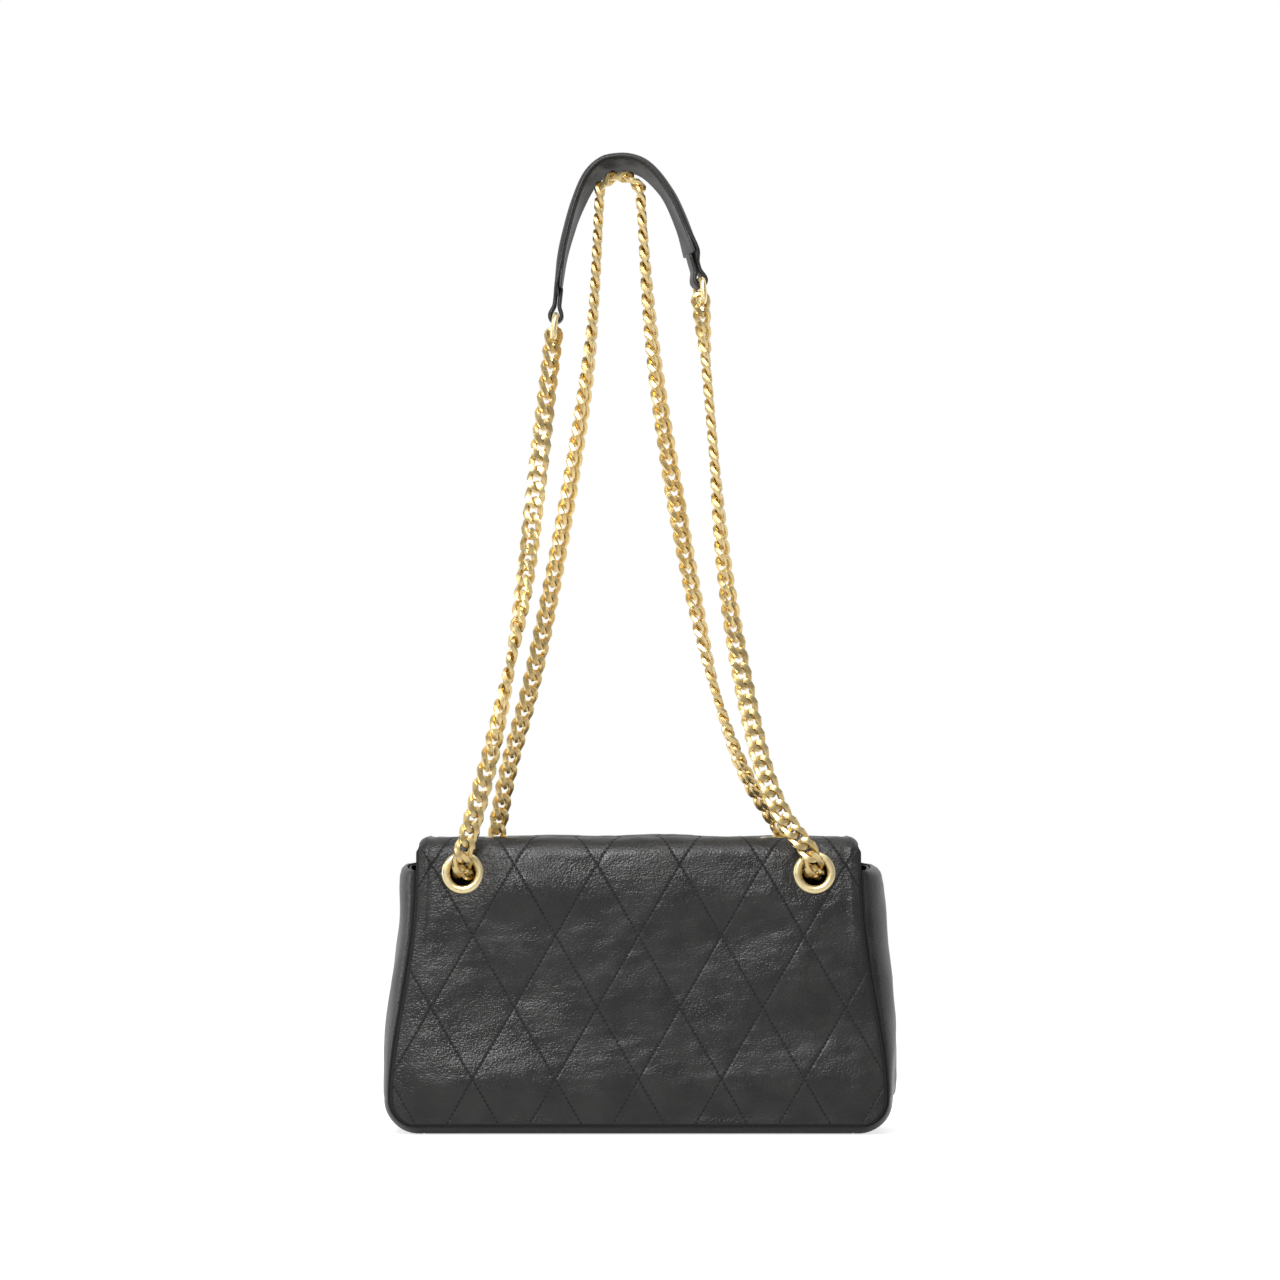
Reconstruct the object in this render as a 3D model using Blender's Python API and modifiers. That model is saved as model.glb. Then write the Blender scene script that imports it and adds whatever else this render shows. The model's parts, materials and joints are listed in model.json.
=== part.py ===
"""Quilted leather shoulder bag with a front flap and a doubled curb-chain strap.

The bag stands on its base while its strap hangs from one point, which is the origin.
+Z is up, +Y is the flap side and -Y is the back, where two of the four eyelets show.
The bag is built round an empty at the middle of its base, and the strap round the origin.
"""
import math

import bmesh
import bpy
import numpy as np
from mathutils import Matrix, Vector

# Where the bag stands, seen from the point that holds its strap
BASE_DROP = 0.4644
BAG_OFFSET = 0.0091

# Filled bag
BAG_HEIGHT = 0.1445
BASE_DEPTH = 0.068
MOUTH_DEPTH = 0.050
PANEL_TOP_WIDTH = 0.2165
PANEL_BASE_WIDTH = 0.2406
CORNER_RADIUS = 0.013
BASE_SEAM_RISE = 0.0044
GUSSET_RUN_ON = 0.0030
TOP_FOLD_RADIUS = 0.011
PANEL_CROWN = 0.0015
SIDE_EASE_POWER = 1.2
PANEL_COLUMNS = 6
CORNER_STEPS = 3
SIDE_STEPS = 6
FOLD_STEPS = 4

# Plies
LEATHER = 0.0022
FACING = 0.0010
GUSSET_LEATHER = 0.0018
LINING = 0.0008
GAP = 0.0003

# Gussets and base, which bulge past the panels' seams
GUSSET_TOP_DROP = 0.0145
GUSSET_TOP_BULGE = 0.0068
GUSSET_LOW_BULGE = 0.0037
GUSSET_FLAT_SHARE = 0.10
BASE_FLAT_SHARE = 0.70
BULGE_SHARES = (0.0, 0.55, 0.85, 1.0)
GUSSET_SIDE_STEPS = 4
BOARD_THICKNESS = 0.0020
BOARD_MARGIN = 0.0032
BOARD_CORNER_STEPS = 3

# Mouth
FRONT_TOP_DROP = 0.0135
FACING_DROP = 0.026
LINING_SIDE_GAP = 0.0005
LINING_WALL_GAP = 0.0012
LINING_CORNERS = 12
LINING_POWER = 0.2
LINING_STEPS = 2
FACING_COLUMNS = 4

# Flap
HINGE_SETBACK = 0.0110
FLAP_DROP = 0.095
FLAP_CORNER_RADIUS = 0.026
FLAP_FOLD_RADIUS = 0.0110
FLAP_LINING_MARGIN = 0.0030
FLAP_CORNER_STEPS = 4

# Magnetic snap, hidden under the flap
SNAP_HEIGHT_ON_FLAP = 0.018
SNAP_RADIUS = 0.0075
SNAP_SOCKET_HEIGHT = 0.0020
SNAP_STUD_HEIGHT = 0.0014
SNAP_NUB_RADIUS = 0.0027
SNAP_NUB_HEIGHT = 0.0013
SNAP_SHANK_RADIUS = 0.0024
SNAP_PLATE = 0.0005
SNAP_EDGE = 0.0005
SNAP_STEPS = 16

# Eyelets
EYELET_HOLE_RADIUS = 0.0062
EYELET_RADIUS = 0.0103
EYELET_HEIGHT = 0.0020
EYELET_BARREL = 0.0006
EYELET_LIP = 0.0004
EYELET_SHOULDER_SHARE = 0.75
EYELET_INNER_SHARE = 0.4
EYELET_WASHER_RADIUS = 0.0088
EYELET_WASHER = 0.0005
EYELET_BACK_INSET = 0.02325
EYELET_BACK_DROP = 0.00806
EYELET_TOP_INSET = 0.03925
EYELET_STEPS = 16

# Curb chain
LINK_PITCH = 0.00775
LINK_WIDTH = 0.0103
LINK_WIRE = 0.0024
LINK_TWIST = math.radians(50)
LINK_FILED_THICKNESS = 0.0043
LINK_BITE = 0.0002
LINK_CROWN_ANGLE = math.radians(30)
LINK_POWER = 0.75
LINK_STATIONS = 6
PITCH_TRIES = 8
RUN_CLEARANCE = 0.0005
ROUTE_SAMPLES = 8

# Strap: its arch over the point that holds it, and places that each hanging stretch passes,
# as shares of the way across and down between its ends
HOOK_ARCH_TOP = 0.0012
HOOK_BEND = math.radians(42)
REAR_PATH_SHARES = {
    "left": ((0.1920, 0.2885), (0.3604, 0.5286), (0.6342, 0.7684), (0.8384, 0.9038)),
    "right": ((0.1233, 0.2815), (0.2388, 0.5254), (0.4626, 0.7690), (0.6790, 0.9097)),
}
FRONT_PATH_SHARES = {
    "left": ((0.0948, 0.2471), (0.3296, 0.4989), (0.6359, 0.7510), (0.8846, 0.9020)),
    "right": ((0.0930, 0.2500), (0.2668, 0.5002), (0.4990, 0.7501), (0.7239, 0.9004)),
}

# Angle in degrees between the chain's flat face and the back view, at shares of each
# stretch from its top
REAR_FACES = {
    "left": ((0, 36), (0.12, 38), (0.25, 6), (0.5, -45), (0.72, -120), (0.9, -160), (1, -170)),
    "right": ((0, 22), (0.12, 85), (0.3, 85), (0.5, 50), (0.7, 12), (0.87, 7), (1, 4)),
}
FRONT_FACES = {
    "left": ((0, 84), (0.05, 88), (0.2, 85), (0.31, 65), (0.5, 50), (0.7, 35), (0.9, 42), (1, 38)),
    "right": ((0, 96), (0.05, 90), (0.2, 70), (0.35, 48), (0.48, 28), (0.64, 50), (0.78, 90),
              (0.92, 124), (1, 120)),
}

# Where the chain's joints stand outside and inside a back eyelet: out from the leather and
# up from the hole's middle
KNEE_OUT, KNEE_UP = 0.0093, 0.0072
KNEE_DRIFT = {"left": 0.0, "right": 0.0011}
MOUTH_OUT, MOUTH_UP = 0.0041, 0.0014
INNER_OUT, INNER_UP = -0.0036, -0.0004
HOLE_LINK_RISE = 0.0026
INSIDE_SHARES = ((0.31, 0.54, 0.03), (0.85, 0.81, 0.50))
LEAST_TWIST_ANGLE = -60
REAR_JOIN_COUNT = 2
FRONT_JOIN_COUNT = 1

# Shoulder pad
PAD_WIDTH = 0.022
PAD_ARCH_WIDTH = 0.0703
PAD_RISE = 0.0784
PAD_LEFT_SHARE = 0.451
PAD_TOP = 0.0078
PAD_LEATHER = 0.0020
PAD_UNDER = 0.0014
PAD_TAB_WIDTH = 0.0090
PAD_TAB_LENGTH = 0.014
PAD_SHOULDER = 0.006
PAD_STEPS = 14
TAB_STEPS = 4
PAD_ARCH_SHARES = ((0, 0), (0.048, 0.373), (0.104, 0.590), (0.166, 0.758), (0.243, 0.901), (0.333, 0.976),
                   (0.430, 1.0), (0.521, 1.0), (0.610, 0.972), (0.694, 0.907), (0.778, 0.808),
                   (0.839, 0.702), (0.909, 0.541), (0.964, 0.373), (1, 0.218))
PAD_ROLL_SHARES = (0.0, 0.25, 0.5, 0.75, 1.0)
PAD_ROLLS = (0, 8, 20, 9, 13)

# End rings of the pad
RING_WIRE = 0.0031
RING_WIDTH = 0.0190
RING_HEIGHT = 0.0140
RING_CORNER_RADIUS = 0.0035
RING_STEPS = 3
RING_SLACK = 0.0014

# Cutters reach this far past what they cut, points closer than this are one, and edges
# sharper than this stay sharp
OVERRUN = 0.002
MERGE_DISTANCE = 0.00001
SHARP_ANGLE = math.radians(40)

# Finishes: base colour, roughness and metallic value
BLACK_LEATHER = ((0.022, 0.022, 0.024, 1.0), 0.42, 0.0)
LINING_CLOTH = ((0.030, 0.029, 0.030, 1.0), 0.85, 0.0)
YELLOW_METAL = ((0.76, 0.55, 0.24, 1.0), 0.24, 1.0)
STEEL = ((0.55, 0.55, 0.56, 1.0), 0.35, 1.0)
BOARD = ((0.32, 0.25, 0.17, 1.0), 0.9, 0.0)

# Values worked out from the sizes above
LEAN = math.atan2(BASE_DEPTH - MOUTH_DEPTH, 2 * (BAG_HEIGHT - TOP_FOLD_RADIUS - BASE_SEAM_RISE))
FOLD_START = BAG_HEIGHT - TOP_FOLD_RADIUS * (1 - math.sin(LEAN))
GUSSET_TOP = BAG_HEIGHT - GUSSET_TOP_DROP
FRONT_TOP = BAG_HEIGHT - FRONT_TOP_DROP
TOP_FLAT_START = -MOUTH_DEPTH / 2 + TOP_FOLD_RADIUS * math.cos(LEAN)
STRIP_END = HINGE_SETBACK - GAP
EYELET_BACK_SPOT = (PANEL_TOP_WIDTH / 2 - EYELET_BACK_INSET, FOLD_START - EYELET_BACK_DROP)
EYELET_TOP_SPOT = (PANEL_TOP_WIDTH / 2 - EYELET_TOP_INSET, (TOP_FLAT_START + STRIP_END) / 2)
FACING_DEPTH = LEATHER + GAP
WASHER_DEPTH = FACING_DEPTH + FACING + GAP
FLAP_PLY_GAP = SNAP_PLATE + 2 * GAP
FLAP_STANDOFF = SNAP_SOCKET_HEIGHT + SNAP_STUD_HEIGHT + 3 * GAP + LINING + FLAP_PLY_GAP + LEATHER
FACING_HALF_WIDTH = PANEL_TOP_WIDTH / 2 - GUSSET_LEATHER - FACING - 2 * GAP
EYELET_CUT_RADIUS = EYELET_HOLE_RADIUS + EYELET_BARREL + GAP
SNAP_CUT_RADIUS = SNAP_SHANK_RADIUS + GAP
NODE_STEP_BACK = LINK_BITE + RUN_CLEARANCE


def clear_scene():
    """Remove whatever the file held before."""
    for old in list(bpy.data.objects):
        bpy.data.objects.remove(old)


def finish(piece, look):
    """Give a piece its own Principled material."""
    colour, roughness, metallic = look
    material = bpy.data.materials.new(piece.name + "_finish")
    material.use_nodes = True
    shader = material.node_tree.nodes["Principled BSDF"]
    shader.inputs["Base Color"].default_value = colour
    shader.inputs["Roughness"].default_value = roughness
    shader.inputs["Metallic"].default_value = metallic
    piece.data.materials.append(material)


def place(piece, collection, parent=None, look=None):
    """Put an object in a collection, under a parent and with a finish."""
    collection.objects.link(piece)
    piece.parent = parent
    if look:
        finish(piece, look)
    return piece


def guide_empty(name, collection, location, parent=None):
    """An empty that carries the pieces built round it."""
    empty = bpy.data.objects.new(name, None)
    empty.location = location
    return place(empty, collection, parent)


def mesh_piece(name, points, faces, smooth=True):
    """An object whose mesh has the given points and faces."""
    mesh = bpy.data.meshes.new(name)
    mesh.from_pydata(np.asarray(points, dtype=float).reshape(-1, 3).tolist(), [], faces)
    mesh.update()
    if smooth:
        mesh.shade_smooth()
        mesh.set_sharp_from_angle(angle=SHARP_ANGLE)
    return bpy.data.objects.new(name, mesh)


def grid_faces(rows, columns, closed=False):
    """Quads of a grid of points, row by row; a closed grid joins its last column to its first."""
    last = columns if closed else columns - 1
    faces = []
    for row in range(rows - 1):
        for column in range(last):
            beside = (column + 1) % columns
            here, below = row * columns, (row + 1) * columns
            faces.append((here + column, here + beside, below + beside, below + column))
    return faces


def sheet(name, grid, thickness):
    """An open surface through a grid of points, thickened towards its back."""
    grid = np.asarray(grid, dtype=float)
    piece = mesh_piece(name, grid, grid_faces(grid.shape[0], grid.shape[1]))
    solidify = piece.modifiers.new("thickness", "SOLIDIFY")
    solidify.thickness = thickness
    solidify.offset = -1.0
    solidify.use_even_offset = True
    return piece


def turned(name, profile, steps):
    """A profile of radius and height pairs, turned about the object's Z axis.

    A ring's profile runs down its outer side and back up its inner side. A solid's profile
    runs from the top of the axis, down its outside, to the bottom of the axis.
    """
    points = [(radius, 0.0, height) for radius, height in profile]
    edges = [(index, index + 1) for index in range(len(points) - 1)]
    if profile[0][0] > 0:
        edges.append((len(points) - 1, 0))
    mesh = bpy.data.meshes.new(name)
    mesh.from_pydata(points, edges, [])
    piece = bpy.data.objects.new(name, mesh)
    screw = piece.modifiers.new("turn", "SCREW")
    screw.axis = "Z"
    screw.steps = steps
    screw.render_steps = steps
    screw.use_merge_vertices = True
    screw.merge_threshold = MERGE_DISTANCE
    screw.use_smooth_shade = True
    return piece


def cylinder_cutter(name, radius, depth, steps, collection, parent):
    """A cylinder about its own Z axis that only cuts other pieces."""
    cutter_mesh = bpy.data.meshes.new(name)
    builder = bmesh.new()
    bmesh.ops.create_cone(builder, cap_ends=True, segments=steps, radius1=radius, radius2=radius,
                          depth=depth)
    builder.to_mesh(cutter_mesh)
    builder.free()
    cutter = bpy.data.objects.new(name, cutter_mesh)
    cutter.hide_render = True
    cutter.display_type = "WIRE"
    return place(cutter, collection, parent)


def cut(piece, cutter):
    """Take a cutter's shape out of a piece."""
    boolean = piece.modifiers.new("cut_" + cutter.name, "BOOLEAN")
    boolean.operation = "DIFFERENCE"
    boolean.solver = "EXACT"
    boolean.object = cutter


def aim(piece, location, direction):
    """Move a piece to a place with its Z axis along a direction."""
    piece.location = location
    piece.rotation_euler = Vector(direction).to_track_quat("Z", "Y").to_euler()


def smoothstep(share):
    """Ease from 0 to 1 with level ends."""
    share = min(max(share, 0.0), 1.0)
    return share * share * (3 - 2 * share)


# Outline and section of the bag body

def half_depth(height):
    """Half the bag's depth at a height, on the outside of the panels."""
    return MOUTH_DEPTH / 2 + (FOLD_START - height) * math.tan(LEAN)


def panel_half_width(height):
    """Half the panels' width at a height above the rounded corners."""
    low = BASE_SEAM_RISE + CORNER_RADIUS
    share = (GUSSET_TOP - height) / (GUSSET_TOP - low)
    ease = smoothstep(share ** SIDE_EASE_POWER) if share > 0 else 0.0
    return (PANEL_TOP_WIDTH + (PANEL_BASE_WIDTH - PANEL_TOP_WIDTH) * ease) / 2


def corner_rows(steps, inset=0.0):
    """Half width, height and outward direction round a lower corner, from the base up."""
    centre = PANEL_BASE_WIDTH / 2 - CORNER_RADIUS
    level = BASE_SEAM_RISE + CORNER_RADIUS
    radius = CORNER_RADIUS - inset
    rows = []
    for step in range(steps + 1):
        angle = math.pi / 2 * step / steps
        aside, down = math.sin(angle), math.cos(angle)
        rows.append((centre + radius * aside, level - radius * down, aside, -down))
    return rows


def side_rows(top, steps, inset=0.0):
    """Half width, height and outward direction up a side, above the lower corner."""
    low = BASE_SEAM_RISE + CORNER_RADIUS
    rows = []
    for step in range(1, steps + 1):
        height = low + (top - low) * step / steps
        rows.append((panel_half_width(height) - inset, height, 1.0, 0.0))
    return rows


def across(half_width, columns):
    """Places across a piece, from its left side to its right."""
    return [half_width * (2 * column / columns - 1) for column in range(columns + 1)]


def wall_point(x, height, half_width, side, inset, crown=0.0):
    """A point of the back (side -1) or front (side 1) panel, an inset below its outside."""
    puff = crown * (1 - (x / half_width) ** 2) ** 2 * math.sin(math.pi * height / FOLD_START) ** 2
    depth = half_depth(height) - inset / math.cos(LEAN) + puff
    return (x, side * depth, height)


def fold_profile(inset, steps):
    """Depth and height pairs over the rear fold and along the top strip, below its outside."""
    radius = TOP_FOLD_RADIUS - inset
    level = BAG_HEIGHT - TOP_FOLD_RADIUS
    profile = []
    for step in range(1, steps + 1):
        angle = LEAN + (math.pi / 2 - LEAN) * step / steps
        profile.append((TOP_FLAT_START - radius * math.cos(angle), level + radius * math.sin(angle)))
    profile.append((STRIP_END, BAG_HEIGHT - inset))
    return profile


def make_back_panel():
    """Back panel, rear fold and top strip, which are one piece of quilted leather."""
    rows = []
    for half_width, height, _, _ in corner_rows(CORNER_STEPS) + side_rows(FOLD_START, SIDE_STEPS):
        places = across(half_width, PANEL_COLUMNS)
        rows.append([wall_point(x, height, half_width, -1, 0.0, PANEL_CROWN) for x in places])
    for depth, height in fold_profile(0.0, FOLD_STEPS):
        rows.append([(x, depth, height) for x in across(PANEL_TOP_WIDTH / 2, PANEL_COLUMNS)])
    return sheet("back_panel", rows, LEATHER)


def make_top_facing():
    """Leather facing behind the upper back, the fold and the top strip."""
    places = across(FACING_HALF_WIDTH, FACING_COLUMNS)
    rows = []
    for height in (GUSSET_TOP - FACING_DROP, FOLD_START):
        rows.append([wall_point(x, height, FACING_HALF_WIDTH, -1, FACING_DEPTH) for x in places])
    for depth, height in fold_profile(FACING_DEPTH, FOLD_STEPS):
        rows.append([(x, depth, height) for x in places])
    return sheet("top_facing", rows, FACING)


def make_front_panel():
    """Front panel, up to the mouth."""
    rows = []
    for half_width, height, _, _ in corner_rows(CORNER_STEPS) + side_rows(FRONT_TOP, SIDE_STEPS):
        places = reversed(across(half_width, PANEL_COLUMNS))
        rows.append([wall_point(x, height, half_width, 1, 0.0) for x in places])
    return sheet("front_panel", rows, LEATHER)


def make_front_facing():
    """Leather facing inside the front of the mouth."""
    places = across(-FACING_HALF_WIDTH, FACING_COLUMNS)
    rows = []
    for height in (GUSSET_TOP - FACING_DROP, FRONT_TOP):
        rows.append([wall_point(x, height, FACING_HALF_WIDTH, 1, FACING_DEPTH) for x in places])
    return sheet("front_facing", rows, FACING)


def section_shares(flat):
    """Places across the depth of a gusset or of the base, with a flat middle."""
    half = [flat + (1 - flat) * bend for bend in BULGE_SHARES]
    return [-share for share in reversed(half)] + half


def strip_rows(outline, inset, side=1):
    """Grid of a gusset or base strip: it leaves both seams and bulges outwards between them.

    Each outline row holds half width, height, outward direction, bulge and flat share.
    """
    rows = []
    for half_width, height, out_x, out_z, bulge, flat in outline:
        reach = half_depth(max(height, BASE_SEAM_RISE)) - LEATHER - GAP
        row = []
        for share in section_shares(flat):
            bend = max(abs(share) - flat, 0.0) / (1 - flat)
            out = bulge * math.sqrt(max(1 - bend * bend, 0.0)) - inset
            row.append((side * (half_width + out * out_x), reach * share, height + out * out_z))
        rows.append(row)
    return rows


def gusset_outline(low_steps, side_steps, top):
    """Rows of one gusset, from its lower end past the corner up to the mouth."""
    run_on = PANEL_BASE_WIDTH / 2 - CORNER_RADIUS - GUSSET_RUN_ON
    outline = [(run_on, BASE_SEAM_RISE, 0.0, -1.0, BASE_SEAM_RISE, BASE_FLAT_SHARE)]
    for half_width, height, out_x, out_z in corner_rows(low_steps):
        turn = math.asin(min(out_x, 1.0)) / (math.pi / 2)
        bulge = BASE_SEAM_RISE + (GUSSET_LOW_BULGE - BASE_SEAM_RISE) * turn
        flat = BASE_FLAT_SHARE + (GUSSET_FLAT_SHARE - BASE_FLAT_SHARE) * turn
        outline.append((half_width, height, out_x, out_z, bulge, flat))
    for half_width, height, out_x, out_z in side_rows(top, side_steps):
        rise = (height - BASE_SEAM_RISE) / (GUSSET_TOP - BASE_SEAM_RISE)
        bulge = GUSSET_LOW_BULGE + (GUSSET_TOP_BULGE - GUSSET_LOW_BULGE) * rise
        outline.append((half_width, height, out_x, out_z, bulge, GUSSET_FLAT_SHARE))
    return outline


def make_gusset(name, side):
    """A side gusset, from the end of the base round the corner to the mouth."""
    rows = strip_rows(gusset_outline(CORNER_STEPS, GUSSET_SIDE_STEPS, GUSSET_TOP), 0.0, side)
    if side < 0:
        rows.reverse()
    return sheet(name, rows, GUSSET_LEATHER)


def make_gusset_facing(name, side):
    """Leather facing inside the top of a gusset."""
    rows = []
    for height in (GUSSET_TOP - FACING_DROP, GUSSET_TOP):
        rise = (height - BASE_SEAM_RISE) / (GUSSET_TOP - BASE_SEAM_RISE)
        bulge = GUSSET_LOW_BULGE + (GUSSET_TOP_BULGE - GUSSET_LOW_BULGE) * rise
        outline = [(panel_half_width(height), height, 1.0, 0.0, bulge, GUSSET_FLAT_SHARE)]
        row = strip_rows(outline, GUSSET_LEATHER + GAP, side)[0]
        clear = half_depth(height) - WASHER_DEPTH - FACING
        limit = clear / max(abs(point[1]) for point in row)
        rows.append([(x, y * limit, z) for x, y, z in row])
    if side < 0:
        rows.reverse()
    return sheet(name, rows, FACING)


def make_base_panel():
    """Base between the lower ends of the gussets."""
    half_width = PANEL_BASE_WIDTH / 2 - CORNER_RADIUS - GUSSET_RUN_ON - GAP
    row = strip_rows([(0.0, BASE_SEAM_RISE, 0.0, -1.0, BASE_SEAM_RISE, BASE_FLAT_SHARE)], 0.0)[0]
    rows = [[(x, y, z) for _, y, z in row] for x in (-half_width, half_width)]
    return sheet("base_panel", rows, GUSSET_LEATHER)


def make_base_board():
    """Stiff board between the base and the lining: a flat outline with rounded corners."""
    top = BASE_SEAM_RISE + GUSSET_LEATHER + LINING_SIDE_GAP - GAP
    long_half = PANEL_BASE_WIDTH / 2 - CORNER_RADIUS - BOARD_MARGIN
    wide_half = half_depth(BASE_SEAM_RISE) - LEATHER - GAP - BOARD_MARGIN
    radius = CORNER_RADIUS / 2
    outline = []
    for quarter, (sx, sy) in enumerate(((1, 1), (-1, 1), (-1, -1), (1, -1))):
        for step in range(BOARD_CORNER_STEPS + 1):
            angle = math.pi / 2 * (quarter + step / BOARD_CORNER_STEPS)
            x = sx * (long_half - radius) + radius * math.cos(angle)
            y = sy * (wide_half - radius) + radius * math.sin(angle)
            outline.append((x, y, 0.0, 1.0))
    curve = bpy.data.curves.new("base_board", "CURVE")
    curve.dimensions = "2D"
    curve.fill_mode = "BOTH"
    curve.extrude = BOARD_THICKNESS / 2
    spline = curve.splines.new("POLY")
    spline.points.add(len(outline) - 1)
    for point, place_on_outline in zip(spline.points, outline):
        point.co = place_on_outline
    spline.use_cyclic_u = True
    board = bpy.data.objects.new("base_board", curve)
    board.location = (0.0, 0.0, top - BOARD_THICKNESS / 2)
    return board


def make_lining():
    """Sewn lining bag, an open cup inside the panels, gussets and base."""
    inset = GUSSET_LEATHER + LINING_SIDE_GAP
    top = GUSSET_TOP - FACING_DROP - GAP
    wall = LEATHER + LINING_WALL_GAP
    rings = [row[:2] for row in corner_rows(LINING_STEPS, inset) + side_rows(top, LINING_STEPS, inset)]
    points = []
    for half_width, height in rings:
        reach = half_depth(height) - wall / math.cos(LEAN)
        for corner in range(LINING_CORNERS):
            angle = 2 * math.pi * (corner + 0.5) / LINING_CORNERS
            x = math.copysign(abs(math.cos(angle)) ** LINING_POWER, math.cos(angle))
            y = math.copysign(abs(math.sin(angle)) ** LINING_POWER, math.sin(angle))
            points.append((half_width * x, reach * y, height))
    faces = grid_faces(len(rings), LINING_CORNERS, closed=True)
    faces.append(tuple(reversed(range(LINING_CORNERS))))
    lining = mesh_piece("lining", points, faces)
    solidify = lining.modifiers.new("thickness", "SOLIDIFY")
    solidify.thickness = LINING
    solidify.offset = -1.0
    return lining


# Flap

def flap_profile(inset, start, drop, fold_steps):
    """Depth and height pairs of the flap, from the hinge line over its fold and down the front.

    The places are measured from the hinge line, on the flap's outside less the inset.
    """
    radius = FLAP_FOLD_RADIUS - inset
    turn = math.pi / 2 - LEAN
    level = BAG_HEIGHT - FLAP_FOLD_RADIUS
    end_level = level + FLAP_FOLD_RADIUS * math.sin(LEAN)
    face = half_depth(end_level) + FLAP_STANDOFF / math.cos(LEAN)
    centre = face - FLAP_FOLD_RADIUS * math.cos(LEAN) - HINGE_SETBACK
    profile = [(start, -inset)]
    for step in range(fold_steps + 1):
        angle = math.pi / 2 - turn * step / fold_steps
        profile.append((centre + radius * math.cos(angle), radius * math.sin(angle) - FLAP_FOLD_RADIUS))
    end_y, end_z = profile[-1]
    length = drop + end_z
    return profile, (end_y, end_z, length)


def flap_rows(inset, start, half_width, drop, corner_radius, side_margin):
    """Grid of a flap ply with rounded lower corners."""
    profile, (end_y, end_z, length) = flap_profile(inset, start, drop, FOLD_STEPS)
    radius = corner_radius - side_margin
    rows = [[(x, y, z) for x in across(half_width, PANEL_COLUMNS)] for y, z in profile]
    places = [(length - radius) / 2, length - radius]
    widths = [half_width, half_width]
    for step in range(1, FLAP_CORNER_STEPS + 1):
        angle = math.pi / 2 * step / FLAP_CORNER_STEPS
        places.append(length - radius + radius * math.sin(angle))
        widths.append(half_width - radius + radius * math.cos(angle))
    for place_down, width in zip(places, widths):
        y = end_y + place_down * math.sin(LEAN)
        z = end_z - place_down * math.cos(LEAN)
        rows.append([(x, y, z) for x in across(width, PANEL_COLUMNS)])
    return rows


def make_flap_leaf():
    """Outer leather of the flap."""
    rows = flap_rows(0.0, 0.0, PANEL_TOP_WIDTH / 2, FLAP_DROP, FLAP_CORNER_RADIUS, 0.0)
    return sheet("flap_leaf", rows, LEATHER)


def make_flap_lining():
    """Lining under the flap, which carries the snap's stud."""
    inset = LEATHER + FLAP_PLY_GAP
    half_width = PANEL_TOP_WIDTH / 2 - FLAP_LINING_MARGIN
    rows = flap_rows(inset, LEATHER, half_width, FLAP_DROP - FLAP_LINING_MARGIN, FLAP_CORNER_RADIUS,
                     FLAP_LINING_MARGIN)
    return sheet("flap_lining", rows, LINING)


def flap_point(inset, up_from_hem):
    """Place and outward direction on the hanging part of the flap, relative to the hinge line."""
    _, (end_y, end_z, length) = flap_profile(inset, 0.0, FLAP_DROP, FOLD_STEPS)
    down = length - up_from_hem
    point = (0.0, end_y + down * math.sin(LEAN), end_z - down * math.cos(LEAN))
    return Vector(point), Vector((0.0, math.cos(LEAN), math.sin(LEAN)))


# Snap and eyelets

def rounded_disc(radius, height, edge):
    """Outer side of a disc whose rim is rounded over, top to bottom."""
    return [(radius - edge, height), (radius, height - edge), (radius, 0.0)]


def make_snap_socket():
    """Socket half: a disc with a recess for the nub, and a shank through the front panel."""
    recess = SNAP_NUB_RADIUS + 2 * GAP
    floor = SNAP_SOCKET_HEIGHT - SNAP_NUB_HEIGHT
    shank = GAP + LEATHER + GAP + SNAP_PLATE
    profile = [(0.0, floor), (recess, floor), (recess, SNAP_SOCKET_HEIGHT)]
    profile += rounded_disc(SNAP_RADIUS, SNAP_SOCKET_HEIGHT, SNAP_EDGE)
    profile += [(SNAP_SHANK_RADIUS, 0.0), (SNAP_SHANK_RADIUS, -shank), (0.0, -shank)]
    return turned("snap_socket", profile, SNAP_STEPS)


def make_snap_stud():
    """Stud half: a disc with a nub in front and a shank through the flap lining."""
    shank = GAP + LINING + GAP + SNAP_PLATE
    nub = SNAP_STUD_HEIGHT + SNAP_NUB_HEIGHT
    profile = [(0.0, nub), (SNAP_NUB_RADIUS, nub), (SNAP_NUB_RADIUS, SNAP_STUD_HEIGHT)]
    profile += rounded_disc(SNAP_RADIUS, SNAP_STUD_HEIGHT, SNAP_EDGE)
    profile += [(SNAP_SHANK_RADIUS, 0.0), (SNAP_SHANK_RADIUS, -shank), (0.0, -shank)]
    return turned("snap_stud", profile, SNAP_STEPS)


def make_washer(name, inner, outer, thickness):
    """A flat ring, its underside on the object's origin plane."""
    profile = [(outer, thickness), (outer, 0.0), (inner, 0.0), (inner, thickness)]
    return turned(name, profile, EYELET_STEPS)


def make_eyelet(name):
    """Eyelet with a rounded face ring and a barrel through both plies, lipped inside."""
    middle = (EYELET_HOLE_RADIUS + EYELET_RADIUS) / 2
    barrel = EYELET_HOLE_RADIUS + EYELET_BARREL
    depth = WASHER_DEPTH + EYELET_WASHER + EYELET_LIP
    shoulder = EYELET_HEIGHT * EYELET_SHOULDER_SHARE
    profile = [(middle, EYELET_HEIGHT), (EYELET_RADIUS - EYELET_BARREL, shoulder)]
    profile += [(EYELET_RADIUS, GAP), (barrel, GAP), (barrel, -depth)]
    profile += [(EYELET_HOLE_RADIUS, -depth), (EYELET_HOLE_RADIUS, EYELET_HEIGHT * EYELET_INNER_SHARE)]
    return turned(name, profile, EYELET_STEPS)


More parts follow.
